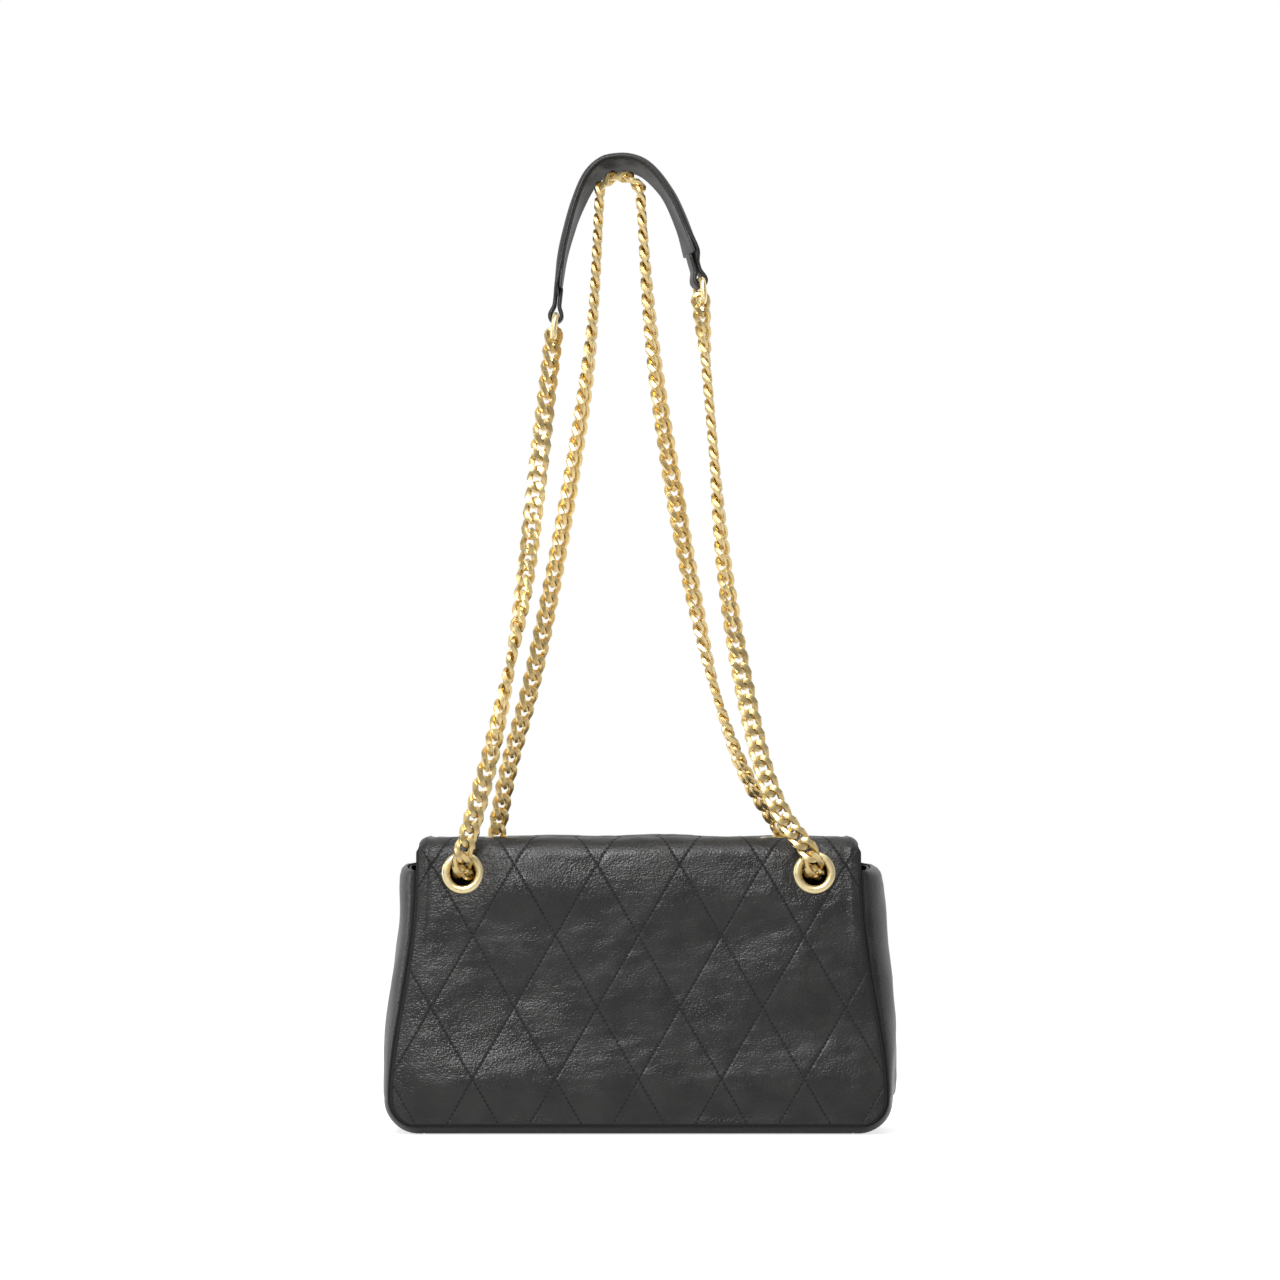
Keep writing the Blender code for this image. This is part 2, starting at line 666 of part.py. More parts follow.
def eyelet_places():
    """Name, place on the leather's outside and outward direction of the four eyelets."""
    back = Vector((0.0, -math.cos(LEAN), math.sin(LEAN)))
    places = []
    for word, side in (("left", -1), ("right", 1)):
        across, up = EYELET_BACK_SPOT
        on_back = (side * across, -half_depth(up), up)
        across, depth = EYELET_TOP_SPOT
        on_top = (side * across, depth, BAG_HEIGHT)
        places.append(("back_" + word, Vector(on_back), back))
        places.append(("top_" + word, Vector(on_top), Vector((0.0, 0.0, 1.0))))
    return places


# Chain

def link_shape(pitch):
    """Points and faces of one curb link, lying along X with its filed faces up and down.

    The wire's middle line is an oval in the XY plane, turned about X in step with x.
    """
    half_length = (pitch + LINK_WIRE - LINK_BITE) / 2
    half_width = (LINK_WIDTH - LINK_WIRE) / 2
    legs = LINK_STATIONS // 2 - 1
    spread = (math.pi - 2 * LINK_CROWN_ANGLE) / legs
    half_turn = np.array([LINK_CROWN_ANGLE + spread * step for step in range(legs + 1)])
    angle = np.concatenate([half_turn, half_turn + math.pi])
    along = np.sign(np.cos(angle)) * np.abs(np.cos(angle)) ** LINK_POWER
    wide = np.sign(np.sin(angle)) * np.abs(np.sin(angle)) ** LINK_POWER
    along = half_length * along / np.abs(along).max()
    wide = half_width * wide / np.abs(wide).max()
    turn = -LINK_TWIST * along / half_length
    middle = np.stack([along, wide * np.cos(turn), wide * np.sin(turn)], axis=1)
    ahead = np.roll(middle, -1, axis=0) - middle
    ahead /= np.linalg.norm(ahead, axis=1)[:, None]
    run = ahead + np.roll(ahead, 1, axis=0)
    mitre = np.linalg.norm(run, axis=1)[:, None] / 2
    run /= 2 * mitre
    face = np.stack([0 * turn, -np.sin(turn), np.cos(turn)], axis=1)
    out = np.cross(run, face)
    out /= np.linalg.norm(out, axis=1)[:, None]
    face = np.cross(out, run)
    half = LINK_WIRE / 2
    corners = [middle + half * (a * out / mitre + b * face) for a, b in ((1, 0), (0, 1), (-1, 0), (0, -1))]
    ring = np.stack(corners, axis=1)
    filed = LINK_FILED_THICKNESS / 2
    ring[..., 2] = np.clip(ring[..., 2], -filed, filed)
    faces = grid_faces(LINK_STATIONS, 4, closed=True)
    last = 4 * (LINK_STATIONS - 1)
    faces += [(last + k, last + (k + 1) % 4, (k + 1) % 4, k) for k in range(4)]
    return ring.reshape(-1, 3), faces


def smooth_route(points, samples):
    """Catmull-Rom curve through points, as an array with a fixed number of samples a span."""
    points = np.asarray(points, dtype=float)
    ends = [2 * points[0] - points[1], 2 * points[-1] - points[-2]]
    padded = np.vstack([ends[0], points, ends[1]])
    curve = []
    for span in range(len(points) - 1):
        p0, p1, p2, p3 = padded[span:span + 4]
        for step in range(samples):
            t = step / samples
            curve.append(0.5 * (2 * p1 + (p2 - p0) * t + (2 * p0 - 5 * p1 + 4 * p2 - p3) * t ** 2
                                + (3 * p1 - p0 - 3 * p2 + p3) * t ** 3))
    curve.append(points[-1])
    return np.array(curve)


def run_lengths(curve):
    """Length along a curve up to each of its points."""
    steps = np.linalg.norm(np.diff(curve, axis=0), axis=1)
    return np.concatenate([[0.0], np.cumsum(steps)])


def point_at(curve, lengths, place_along):
    """Point of a curve at a length along it."""
    return np.array([np.interp(place_along, lengths, curve[:, axis]) for axis in range(3)])


def unit(vector):
    """A vector cut to length one."""
    return vector / np.linalg.norm(vector)


def turned_face(along, degrees):
    """Face direction square to a link's run, turned from the back view about the downward run."""
    back = np.array([0.0, -1.0, 0.0])
    level = unit(back - along * back.dot(along))
    down = along if along[2] < 0 else -along
    side = np.cross(level, down)
    return level * math.cos(math.radians(degrees)) + side * math.sin(math.radians(degrees))


def carried_face(face, along, degrees=0.0):
    """A face direction carried on to the next run without turning, then turned about it."""
    face = unit(face - along * face.dot(along))
    side = np.cross(along, face)
    return face * math.cos(math.radians(degrees)) + side * math.sin(math.radians(degrees))


def face_at(table, share):
    """Face angle at a share of a stretch, from a table of shares and angles."""
    return float(np.interp(share, [place for place, _ in table], [angle for _, angle in table]))


def links_along(points, run_on, run_off):
    """Ends of each link along a route, with the share of the route at the link's middle.

    The first and last few links belong to the neighbouring runs. The chain is a step shorter
    there, so that two runs hang together without touching.
    """
    curve = smooth_route(points, ROUTE_SAMPLES)
    lengths = run_lengths(curve)
    total = lengths[-1]
    count = round(total / LINK_PITCH)
    pitch = total / count
    for _ in range(PITCH_TRIES):
        place_along, links = 0.0, []
        for index in range(count):
            if index in (run_on, count - run_off) and 0 < index < count:
                place_along -= NODE_STEP_BACK
            start = point_at(curve, lengths, place_along)
            ahead = place_along + pitch
            for _ in range(PITCH_TRIES):
                ahead += pitch - np.linalg.norm(point_at(curve, lengths, ahead) - start)
            end = point_at(curve, lengths, ahead)
            links.append((start, end, (place_along + ahead) / 2 / total))
            place_along = ahead
        pitch *= total / place_along
    return links


def bag_point(x, y, z):
    """A place given from the middle of the bag's base, as seen from the hook."""
    return np.array([BAG_OFFSET + x, y, z - BASE_DROP])


def hole_joint(side, out, up):
    """A chain joint near a back eyelet, out from the leather and up from the hole's middle."""
    across, height = EYELET_BACK_SPOT
    depth = -half_depth(height) - out * math.cos(LEAN)
    return bag_point(side * across, depth, height + up + out * math.sin(LEAN))


def top_joint(side, rise):
    """A chain joint in the middle of a top eyelet, at a height over the strip."""
    across, depth = EYELET_TOP_SPOT
    return bag_point(side * across, depth, BAG_HEIGHT + rise)


def strand_places(top, bottom, shares):
    """Places across and down that a hanging stretch passes, from shares of the way."""
    span = bottom - top
    return [(top[0] + span[0] * across, top[2] + span[2] * down) for across, down in shares]


def hanging_route(start, places, end):
    """Points of a hanging stretch: its depth changes evenly between its two ends."""
    points = [start]
    for x, z in places:
        share = (z - start[2]) / (end[2] - start[2])
        points.append(np.array([x, start[1] + (end[1] - start[1]) * share, z]))
    return points + [end]


def knee_joint(word, side):
    """The joint over a back eyelet, where the chain bends in towards the hole."""
    return hole_joint(side, KNEE_OUT, KNEE_UP) - np.array([side * KNEE_DRIFT[word], 0.0, 0.0])


def rear_places(word, side, bar):
    """Places that the chain passes between a ring's bar in the pad and the knee."""
    return strand_places(bar, knee_joint(word, side), REAR_PATH_SHARES[word])


def rear_links(word, side, bar, joint):
    """Links from the pad's ring down to the knee over the back eyelet."""
    points = hanging_route(joint, rear_places(word, side, bar), knee_joint(word, side))
    links = []
    for start, end, share in links_along(points, 0, REAR_JOIN_COUNT):
        links.append((start, end, turned_face(unit(end - start), face_at(REAR_FACES[word], share))))
    return links


def inner_links(word, side, first_face):
    """Links from the knee through the back eyelet and on inside to the top eyelet."""
    knee = knee_joint(word, side)
    mouth, inside = hole_joint(side, MOUTH_OUT, MOUTH_UP), hole_joint(side, INNER_OUT, INNER_UP)
    low, high = top_joint(side, HOLE_LINK_RISE - LINK_PITCH), top_joint(side, HOLE_LINK_RISE)
    span = low - inside
    points = [inside] + [inside + span * np.array(shares) for shares in INSIDE_SHARES] + [low]
    level = np.array([1.0, 0.0, 0.0])
    links = [(knee, mouth, np.cross(unit(mouth - knee), level)),
             (mouth, inside, np.cross(unit(inside - mouth), level))]
    runs = [(start, end) for start, end, _ in links_along(points, 0, 0)] + [(low, high)]
    face = links[-1][2]
    alongs = [unit(end - start) for start, end in runs]
    for along in alongs:
        face = carried_face(face, along)
    last = carried_face(first_face, alongs[-1])
    twist = math.degrees(math.atan2(np.cross(face, last).dot(alongs[-1]), face.dot(last)))
    twist = (twist - LEAST_TWIST_ANGLE) % 180 + LEAST_TWIST_ANGLE
    face = links[-1][2]
    for (start, end), along in zip(runs, alongs):
        face = carried_face(face, along, twist / len(runs))
        links.append((start, end, face))
    return links


def front_links():
    """Links from the left top eyelet over the hook to the right top eyelet."""
    brow_x = LINK_PITCH / 2
    foot_x = brow_x + LINK_PITCH * math.cos(HOOK_BEND)
    foot_z = HOOK_ARCH_TOP - LINK_PITCH * math.sin(HOOK_BEND)
    halves = {}
    for word, side in (("left", -1), ("right", 1)):
        brow = np.array([side * brow_x, 0.0, HOOK_ARCH_TOP])
        foot = np.array([side * foot_x, 0.0, foot_z])
        end = top_joint(side, HOLE_LINK_RISE)
        route = hanging_route(foot, strand_places(foot, end, FRONT_PATH_SHARES[word]), end)
        halves[word] = []
        for start, end, share in [(brow, foot, 0.0)] + links_along(route, 0, FRONT_JOIN_COUNT):
            face = turned_face(unit(end - start), face_at(FRONT_FACES[word], share))
            halves[word].append((start, end, face))
    left = [(end, start, face) for start, end, face in reversed(halves["left"])]
    middle_start, middle_end = left[-1][1], halves["right"][0][0]
    face = turned_face(unit(middle_end - middle_start), FRONT_FACES["left"][0][1])
    return left + [(middle_start, middle_end, face)] + halves["right"]


def link_frame(start, end, face):
    """Matrix of a link from its two ends and the direction its flat face looks in."""
    along = unit(end - start)
    face = unit(face - along * face.dot(along))
    columns = np.column_stack([along, np.cross(face, along), face, (start + end) / 2])
    return Matrix(columns.tolist()).to_4x4()


def link_solids(links):
    """Points and faces of a list of links."""
    points, faces = [], []
    for start, end, face in links:
        shape, shape_faces = link_shape(np.linalg.norm(end - start))
        first = len(points)
        frame = link_frame(start, end, face)
        points += [frame @ Vector(point) for point in shape]
        faces += [tuple(first + corner for corner in one_face) for one_face in shape_faces]
    return points, faces


def make_chain(name, links, collection, cutters):
    """A run of chain: its odd links joined to its even links where they bear on each other."""
    chain = mesh_piece(name, *link_solids(links[0::2]))
    place(chain, collection, None, YELLOW_METAL)
    others = mesh_piece(name + "_other_links", *link_solids(links[1::2]))
    others.hide_render = True
    others.display_type = "WIRE"
    place(others, cutters)
    join = chain.modifiers.new("join", "BOOLEAN")
    join.operation = "UNION"
    join.solver = "EXACT"
    join.object = others


def make_chains(ring_joints, collection, cutters):
    """The whole chain in five runs, from the pad's left ring to its right ring."""
    front = front_links()
    make_chain("chain_front", front[FRONT_JOIN_COUNT:-FRONT_JOIN_COUNT], collection, cutters)
    ends = {"left": front[:FRONT_JOIN_COUNT], "right": front[-FRONT_JOIN_COUNT:]}
    for word, side in (("left", -1), ("right", 1)):
        rear = rear_links(word, side, *ring_joints[word])
        inner = inner_links(word, side, ends[word][0][2])
        make_chain("chain_rear_" + word, rear[:-REAR_JOIN_COUNT], collection, cutters)
        make_chain("chain_inner_" + word, rear[-REAR_JOIN_COUNT:] + inner + ends[word], collection, cutters)


# Shoulder pad

def pad_frames():
    """Middle line of the pad as places, directions, outward normals and width directions."""
    left = -PAD_ARCH_WIDTH * PAD_LEFT_SHARE
    points = [(left + x * PAD_ARCH_WIDTH, 0.0, PAD_TOP + (z - 1) * PAD_RISE) for x, z in PAD_ARCH_SHARES]
    curve = smooth_route(points, ROUTE_SAMPLES)
    lengths = run_lengths(curve)
    end = PAD_TAB_LENGTH + RING_WIRE / 2 + GAP + PAD_LEATHER
    reach = (lengths[-1] - 2 * end) / PAD_STEPS / 2
    frames = []
    for step in range(PAD_STEPS + 1):
        place_along = end + 2 * reach * step
        here = point_at(curve, lengths, place_along)
        behind = point_at(curve, lengths, place_along - reach)
        along = unit(point_at(curve, lengths, place_along + reach) - behind)
        near = np.array([0.0, -1.0, 0.0])
        out = np.cross(near, along)
        roll = math.radians(np.interp(step / PAD_STEPS, PAD_ROLL_SHARES, PAD_ROLLS))
        wide = near * math.cos(roll) + out * math.sin(roll)
        out = out * math.cos(roll) - near * math.sin(roll)
        frames.append((here, along, out, wide))
    return frames


def tab_profile():
    """The folded end of the pad: places along and out, and half widths, from the shoulder.

    It starts on the outside, goes round the ring's bar and comes back on the underside.
    """
    radius = RING_WIRE / 2 + GAP + PAD_LEATHER / 2
    spread = GAP / 2 + PAD_LEATHER / 2
    half = PAD_TAB_WIDTH / 2
    neck = PAD_TAB_LENGTH - PAD_SHOULDER
    profile = [(0.0, spread, PAD_WIDTH / 2), (PAD_SHOULDER, spread, half)]
    profile.append((PAD_SHOULDER + neck / 2, (spread + radius) / 2, half))
    for step in range(TAB_STEPS + 1):
        angle = math.pi / 2 - math.pi * step / TAB_STEPS
        profile.append((PAD_TAB_LENGTH + radius * math.cos(angle), radius * math.sin(angle), half))
    profile.append((PAD_SHOULDER + neck / 2, -(spread + radius) / 2, half))
    profile.append((PAD_SHOULDER, -spread, half))
    return profile


def tab_rows(frame, direction):
    """Two-point rows of a folded end, which goes straight on from a frame of the pad."""
    point, along, out, wide = frame
    rows = []
    for forward, outward, half in tab_profile():
        middle = point + along * forward * direction + out * outward
        rows.append([middle - wide * half, middle + wide * half])
    return rows


def make_pad(frames, collection):
    """Outer leather with folded ends, and the strip of leather under it."""
    spread = GAP / 2 + PAD_LEATHER / 2
    rows = list(reversed(tab_rows(frames[0], -1)))[:-1]
    for point, _, out, wide in frames:
        middle = point + out * spread
        rows.append([middle - wide * PAD_WIDTH / 2, middle + wide * PAD_WIDTH / 2])
    rows += tab_rows(frames[-1], 1)[1:]
    outer = sheet("pad_outer", rows, PAD_LEATHER)
    outer.modifiers["thickness"].offset = 0.0
    place(outer, collection, None, BLACK_LEATHER)
    rows = []
    for point, _, out, wide in frames:
        middle = point - out * (GAP / 2 + PAD_UNDER / 2)
        rows.append([middle - wide * PAD_WIDTH / 2, middle + wide * PAD_WIDTH / 2])
    under = sheet("pad_under", rows, PAD_UNDER)
    under.modifiers["thickness"].offset = 0.0
    place(under, collection, None, BLACK_LEATHER)


def make_ring(word, side, frame, collection):
    """End ring through the pad's fold, which hangs towards the chain.

    Returns the middle of its bar in the fold, and the place where the chain's first joint
    bears inside its far bar.
    """
    name = "pad_ring_" + word
    point, along, _, wide = frame
    bar = point + along * side * PAD_TAB_LENGTH
    x, z = rear_places(word, side, bar)[0]
    ahead = np.array([x, 0.0, z]) - bar
    ahead = unit(ahead - wide * ahead.dot(wide))
    half_wide = (RING_WIDTH - RING_WIRE) / 2 - RING_CORNER_RADIUS
    length = RING_HEIGHT - RING_WIRE
    corner = min(RING_CORNER_RADIUS, length / 2)
    curve = bpy.data.curves.new(name, "CURVE")
    curve.dimensions = "3D"
    curve.bevel_depth = RING_WIRE / 2
    curve.bevel_resolution = 1
    curve.use_fill_caps = True
    outline = []
    for quarter, (sx, sy) in enumerate(((1, 1), (-1, 1), (-1, 0), (1, 0))):
        for step in range(RING_STEPS):
            angle = math.pi / 2 * (quarter + step / (RING_STEPS - 1))
            across_ring = sx * half_wide + corner * math.cos(angle)
            down_ring = sy * (length - 2 * corner) + corner + corner * math.sin(angle)
            outline.append(bar + wide * across_ring + ahead * down_ring)
    spline = curve.splines.new("POLY")
    spline.points.add(len(outline) - 1)
    for spline_point, spot in zip(spline.points, outline):
        spline_point.co = (*spot, 1.0)
    spline.use_cyclic_u = True
    place(bpy.data.objects.new(name, curve), collection, None, YELLOW_METAL)
    return bar, bar + ahead * (length - RING_WIRE / 2 - RING_SLACK)


def make_shell(collection, base):
    """The bag's leather shell, board and lining; returns the pieces that later get holes."""
    back_panel = place(make_back_panel(), collection, base, BLACK_LEATHER)
    top_facing = place(make_top_facing(), collection, base, BLACK_LEATHER)
    front_panel = place(make_front_panel(), collection, base, BLACK_LEATHER)
    place(make_front_facing(), collection, base, BLACK_LEATHER)
    for word, side in (("left", -1), ("right", 1)):
        place(make_gusset("gusset_" + word, side), collection, base, BLACK_LEATHER)
        place(make_gusset_facing("gusset_facing_" + word, side), collection, base, BLACK_LEATHER)
    place(make_base_panel(), collection, base, BLACK_LEATHER)
    place(make_base_board(), collection, base, BOARD)
    place(make_lining(), collection, base, LINING_CLOTH)
    return back_panel, top_facing, front_panel


def fit_eyelets(collection, cutters, base, plies):
    """The four eyelets with their washers, and their holes through both plies."""
    for word, point, out in eyelet_places():
        aim(place(make_eyelet("eyelet_" + word), collection, base, YELLOW_METAL), point, out)
        washer = make_washer("eyelet_washer_" + word, EYELET_CUT_RADIUS, EYELET_WASHER_RADIUS,
                             EYELET_WASHER)
        place(washer, collection, base, STEEL)
        aim(washer, point - out * (WASHER_DEPTH + EYELET_WASHER), out)
        depth = 2 * (WASHER_DEPTH + OVERRUN)
        hole = cylinder_cutter("hole_" + word, EYELET_CUT_RADIUS, depth, EYELET_STEPS, cutters, base)
        aim(hole, point, out)
        for ply in plies:
            cut(ply, hole)


def fit_snap_half(half, word, point, facing, washer_point, ply, depth, collection, cutters, parent):
    """One half of the snap on its ply, with its washer behind and its shank hole."""
    aim(place(half, collection, parent, YELLOW_METAL), point, facing)
    hole = cylinder_cutter("hole_" + word, SNAP_CUT_RADIUS, 2 * (depth + OVERRUN), SNAP_STEPS, cutters,
                           parent)
    aim(hole, point, facing)
    cut(ply, hole)
    washer = make_washer("snap_" + word + "_washer", SNAP_CUT_RADIUS, SNAP_RADIUS, SNAP_PLATE)
    aim(place(washer, collection, parent, STEEL), washer_point, facing)


def fit_snap(collection, cutters, base, hinge, front_panel, flap_lining):
    """The snap's stud under the flap and its socket on the front panel."""
    stud_point, out = flap_point(LEATHER + FLAP_PLY_GAP + LINING, SNAP_HEIGHT_ON_FLAP)
    behind = stud_point + out * (LINING + GAP + SNAP_PLATE)
    fit_snap_half(make_snap_stud(), "stud", stud_point - out * GAP, -out, behind, flap_lining, LINING,
                  collection, cutters, hinge)
    hinge_place = Vector((0.0, HINGE_SETBACK, BAG_HEIGHT))
    socket_point = hinge_place + stud_point - out * (2 * GAP + SNAP_STUD_HEIGHT + SNAP_SOCKET_HEIGHT)
    behind = socket_point - out * (GAP + LEATHER + GAP + SNAP_PLATE)
    fit_snap_half(make_snap_socket(), "socket", socket_point, out, behind, front_panel, LEATHER,
                  collection, cutters, base)


def make_strap(collection, cutters):
    """Shoulder pad, its end rings and the chain."""
    frames = pad_frames()
    make_pad(frames, collection)
    ring_joints = {
        "left": make_ring("left", -1, frames[0], collection),
        "right": make_ring("right", 1, frames[-1], collection),
    }
    make_chains(ring_joints, collection, cutters)


def main():
    """Build the whole bag."""
    clear_scene()
    bag_parts = bpy.data.collections.new("quilted_shoulder_bag")
    cutters = bpy.data.collections.new("cutters")
    for collection in (bag_parts, cutters):
        bpy.context.scene.collection.children.link(collection)
    base = guide_empty("bag_frame", bag_parts, (BAG_OFFSET, 0.0, -BASE_DROP))
    hinge = guide_empty("flap_hinge", bag_parts, (0.0, HINGE_SETBACK, BAG_HEIGHT), base)
    back_panel, top_facing, front_panel = make_shell(bag_parts, base)
    place(make_flap_leaf(), bag_parts, hinge, BLACK_LEATHER)
    flap_lining = place(make_flap_lining(), bag_parts, hinge, BLACK_LEATHER)
    fit_eyelets(bag_parts, cutters, base, (back_panel, top_facing))
    fit_snap(bag_parts, cutters, base, hinge, front_panel, flap_lining)
    make_strap(bag_parts, cutters)


main()
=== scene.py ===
"""Quilted leather shoulder bag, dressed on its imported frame.

The bag stands on its base while its strap hangs from one point, which is the origin. The
quilted back with two of the eyelets looks along -Y, and the flap hangs on the +Y side.
Lengths are in metres.
"""
import json
import math

import bpy
import numpy as np
from bpy.props import FloatProperty, FloatVectorProperty, IntProperty, PointerProperty
from bpy.types import Operator, Panel, PropertyGroup
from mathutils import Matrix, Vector

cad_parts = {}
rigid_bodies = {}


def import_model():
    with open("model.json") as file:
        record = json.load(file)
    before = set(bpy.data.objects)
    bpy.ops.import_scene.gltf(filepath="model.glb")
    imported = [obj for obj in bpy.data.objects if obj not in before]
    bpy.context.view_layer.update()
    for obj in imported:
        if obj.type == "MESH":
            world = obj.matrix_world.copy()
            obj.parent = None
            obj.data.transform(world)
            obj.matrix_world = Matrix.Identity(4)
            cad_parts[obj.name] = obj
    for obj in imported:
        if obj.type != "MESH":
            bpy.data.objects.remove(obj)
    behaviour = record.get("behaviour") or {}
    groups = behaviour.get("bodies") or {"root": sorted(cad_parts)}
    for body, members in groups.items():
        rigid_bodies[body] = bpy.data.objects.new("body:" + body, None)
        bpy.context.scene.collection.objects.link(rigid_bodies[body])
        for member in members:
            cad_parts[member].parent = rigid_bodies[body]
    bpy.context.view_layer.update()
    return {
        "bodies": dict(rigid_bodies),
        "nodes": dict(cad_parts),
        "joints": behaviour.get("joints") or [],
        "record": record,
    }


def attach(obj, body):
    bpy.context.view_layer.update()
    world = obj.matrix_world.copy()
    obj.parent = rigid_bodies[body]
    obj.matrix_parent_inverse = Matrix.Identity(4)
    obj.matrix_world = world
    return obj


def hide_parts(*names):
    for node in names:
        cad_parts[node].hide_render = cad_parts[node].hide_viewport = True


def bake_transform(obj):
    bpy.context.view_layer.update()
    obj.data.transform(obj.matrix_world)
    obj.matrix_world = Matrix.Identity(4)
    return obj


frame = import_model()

bl_info = {
    "name": "Quilted Shoulder Bag",
    "version": (1, 0, 0),
    "blender": (4, 5, 0),
    "location": "View3D > Sidebar > Bag",
    "description": "Leather, lining, fittings and chain strap of a quilted shoulder bag",
    "category": "Add Mesh",
}

# Where the bag stands, seen from the point that holds its strap
BAG_PLACE = np.array([0.0091, 0.0, -0.4644])
SIDES = (("left", -1), ("right", 1))

# Shape of the filled bag, from the middle of its base
BAG_HEIGHT = 0.1445
BASE_DEPTH = 0.068
MOUTH_DEPTH = 0.050
TOP_HALF = 0.2165 / 2
BASE_HALF = 0.2406 / 2
CORNER_RADIUS = 0.013
SEAM_RISE = 0.0044
FOLD_RADIUS = 0.011
SIDE_EASE = 1.2
GUSSET_TOP = 0.1300
GUSSET_TOP_BULGE = 0.0068
GUSSET_LOW_BULGE = 0.0037
GUSSET_FLAT = 0.10
BASE_FLAT = 0.70
GUSSET_RUN_ON = 0.0030
FRONT_TOP = 0.1310
FACING_DROP = 0.026
FLAP_HEM = 0.0495
FLAP_CORNER_RADIUS = 0.026
HINGE_SETBACK = 0.011
FLAP_STANDOFF = 0.0084

# Plies
LEATHER = 0.0022
FACING = 0.0010
GUSSET_LEATHER = 0.0018
LINING = 0.0008
GAP = 0.0003
FLAP_PLY_GAP = 0.0011
FLAP_LINING_MARGIN = 0.003
FACING_HOLE = 0.0078
LINING_TOP = 0.1037
LINING_POWER = 0.22
LINING_SIDE_ROOM = 0.0005
LINING_WALL_ROOM = 0.0012
LINING_DRAPE = 0.0006

# How far the soft top sinks between its two folds, and where that starts and ends
TOP_SAG = 0.0026
EYELET_SINK = 0.0005
SAG_START, SAG_END = (-0.0165, -0.0100), (0.0095, 0.0200)
SAG_SIDE_START, SAG_SIDE_RUN, SAG_SIDE_LOSS = 0.085, 0.02, 0.6
SAG_BAND = 0.008

# Further bulge of the two side gussets at heights
FILL_HEIGHTS = (0.018, 0.030, 0.040, 0.060, 0.075, 0.095, 0.120, 0.1265, 0.130)
FILL_LEFT = (0.0, 0.0004, 0.0010, 0.0015, 0.0022, 0.0016, 0.0015, 0.0013, 0.0002)
FILL_RIGHT = (0.0006, 0.0014, 0.0028, 0.0044, 0.0058, 0.0056, 0.0046, 0.0034, 0.0004)

# Soft domes of the filled back: across, up, their two spreads and their rise
DOMES = ((-0.086, 0.026, 0.031, 0.014, 0.0027), (0.088, 0.026, 0.026, 0.014, 0.0015),
         (-0.010, 0.025, 0.060, 0.014, 0.0014), (-0.052, 0.119, 0.024, 0.012, 0.0031),
         (0.012, 0.117, 0.034, 0.014, 0.0014), (0.062, 0.115, 0.018, 0.013, 0.0010),
         (0.078, 0.076, 0.014, 0.014, 0.0011), (-0.100, 0.064, 0.014, 0.020, 0.0007),
         (-0.063, 0.120, 0.013, 0.010, 0.0014))
DOME_EDGE = 0.012
BACK_LIMIT = -0.02

# The back's tuck over the base, and the puckers round the eyelets
TUCK_HEIGHT, TUCK = 0.019, 0.0010
PUCKER_RADIUS, PUCKER_SPREAD, PUCKER_RISE = 0.016, 0.006, 0.00020
PUCKER_REACH, PUCKER_START, PUCKER_RUN = 0.006, 0.0105, 0.003

# Where quilting and dents fade out: from an eyelet's middle and from an edge
FREE_GAP, FREE_RUN, FREE_EDGE = 0.010, 0.008, 0.010

# Slow dents: reach, seed, stretch and rise
BACK_DENTS = ((0.060, 3, 1.6, 0.00042), (0.014, 8, 1.9, 0.00009))
FRONT_DENTS = ((0.07, 12, 1.5, 0.0005),)

# The front's puff: height, spread and rise, how much of the relief it has, and its flat place
# round the snap
FRONT_PUFF = (0.030, 0.016, 0.0012)
FRONT_SHARE = 0.8
SNAP_FLAT, SNAP_FLAT_RUN = 0.009, 0.006

# Edges of the quilted leather: above a height its sides are turned in, with a low shoulder and
# a groove beside it; below it they are only rounded off
TURN_HEIGHT, TURN_RUN = 0.085, 0.035
TURN_WIDTH, TURN_DROP = 0.0044, 0.0013
SHOULDER_RISE = 0.00035
SHOULDER_IN, SHOULDER_SPREAD = 0.0046, 0.0011
GROOVE_IN, GROOVE_SPREAD, GROOVE_SHARE = 0.0070, 0.0014, 0.8
SHOULDER_GAP = 0.0125
ROUND_WIDTH, ROUND_DROP = 0.0022, 0.0005

# The top settles with wear, more so towards the sides, and its corners slump
SETTLE_HEIGHT, SETTLE_RUN = 0.125, 0.012
SETTLE_ALL, SETTLE_SIDES = 0.0008, 0.0003
SETTLE_SIDE_START, SETTLE_SIDE_RUN = 0.080, 0.026
SLUMP_HEIGHT, SLUMP_RUN, SLUMP_WIDTH = 0.1375, 0.006, 0.0052
SLUMP_DROP, SLUMP_IN, SLUMP_IN_WIDTH = 0.0014, 0.0008, 0.0030

# Where the back's leather is creased: a band under the fold, weaker on its right, one worn
# place and slow patches
BAND_HEIGHT, BAND_SPREAD = 0.124, 0.009
BAND_FADE_START, BAND_FADE_RUN, BAND_FADE = -0.03, 0.05, 0.5
WORN_PLACE = (-0.085, 0.045, 0.035, 0.024)
WORN_CREASE, PATCH_CREASE, MOST_CREASE = 0.8, 0.3, 1.6
PATCH_REACH = 0.05

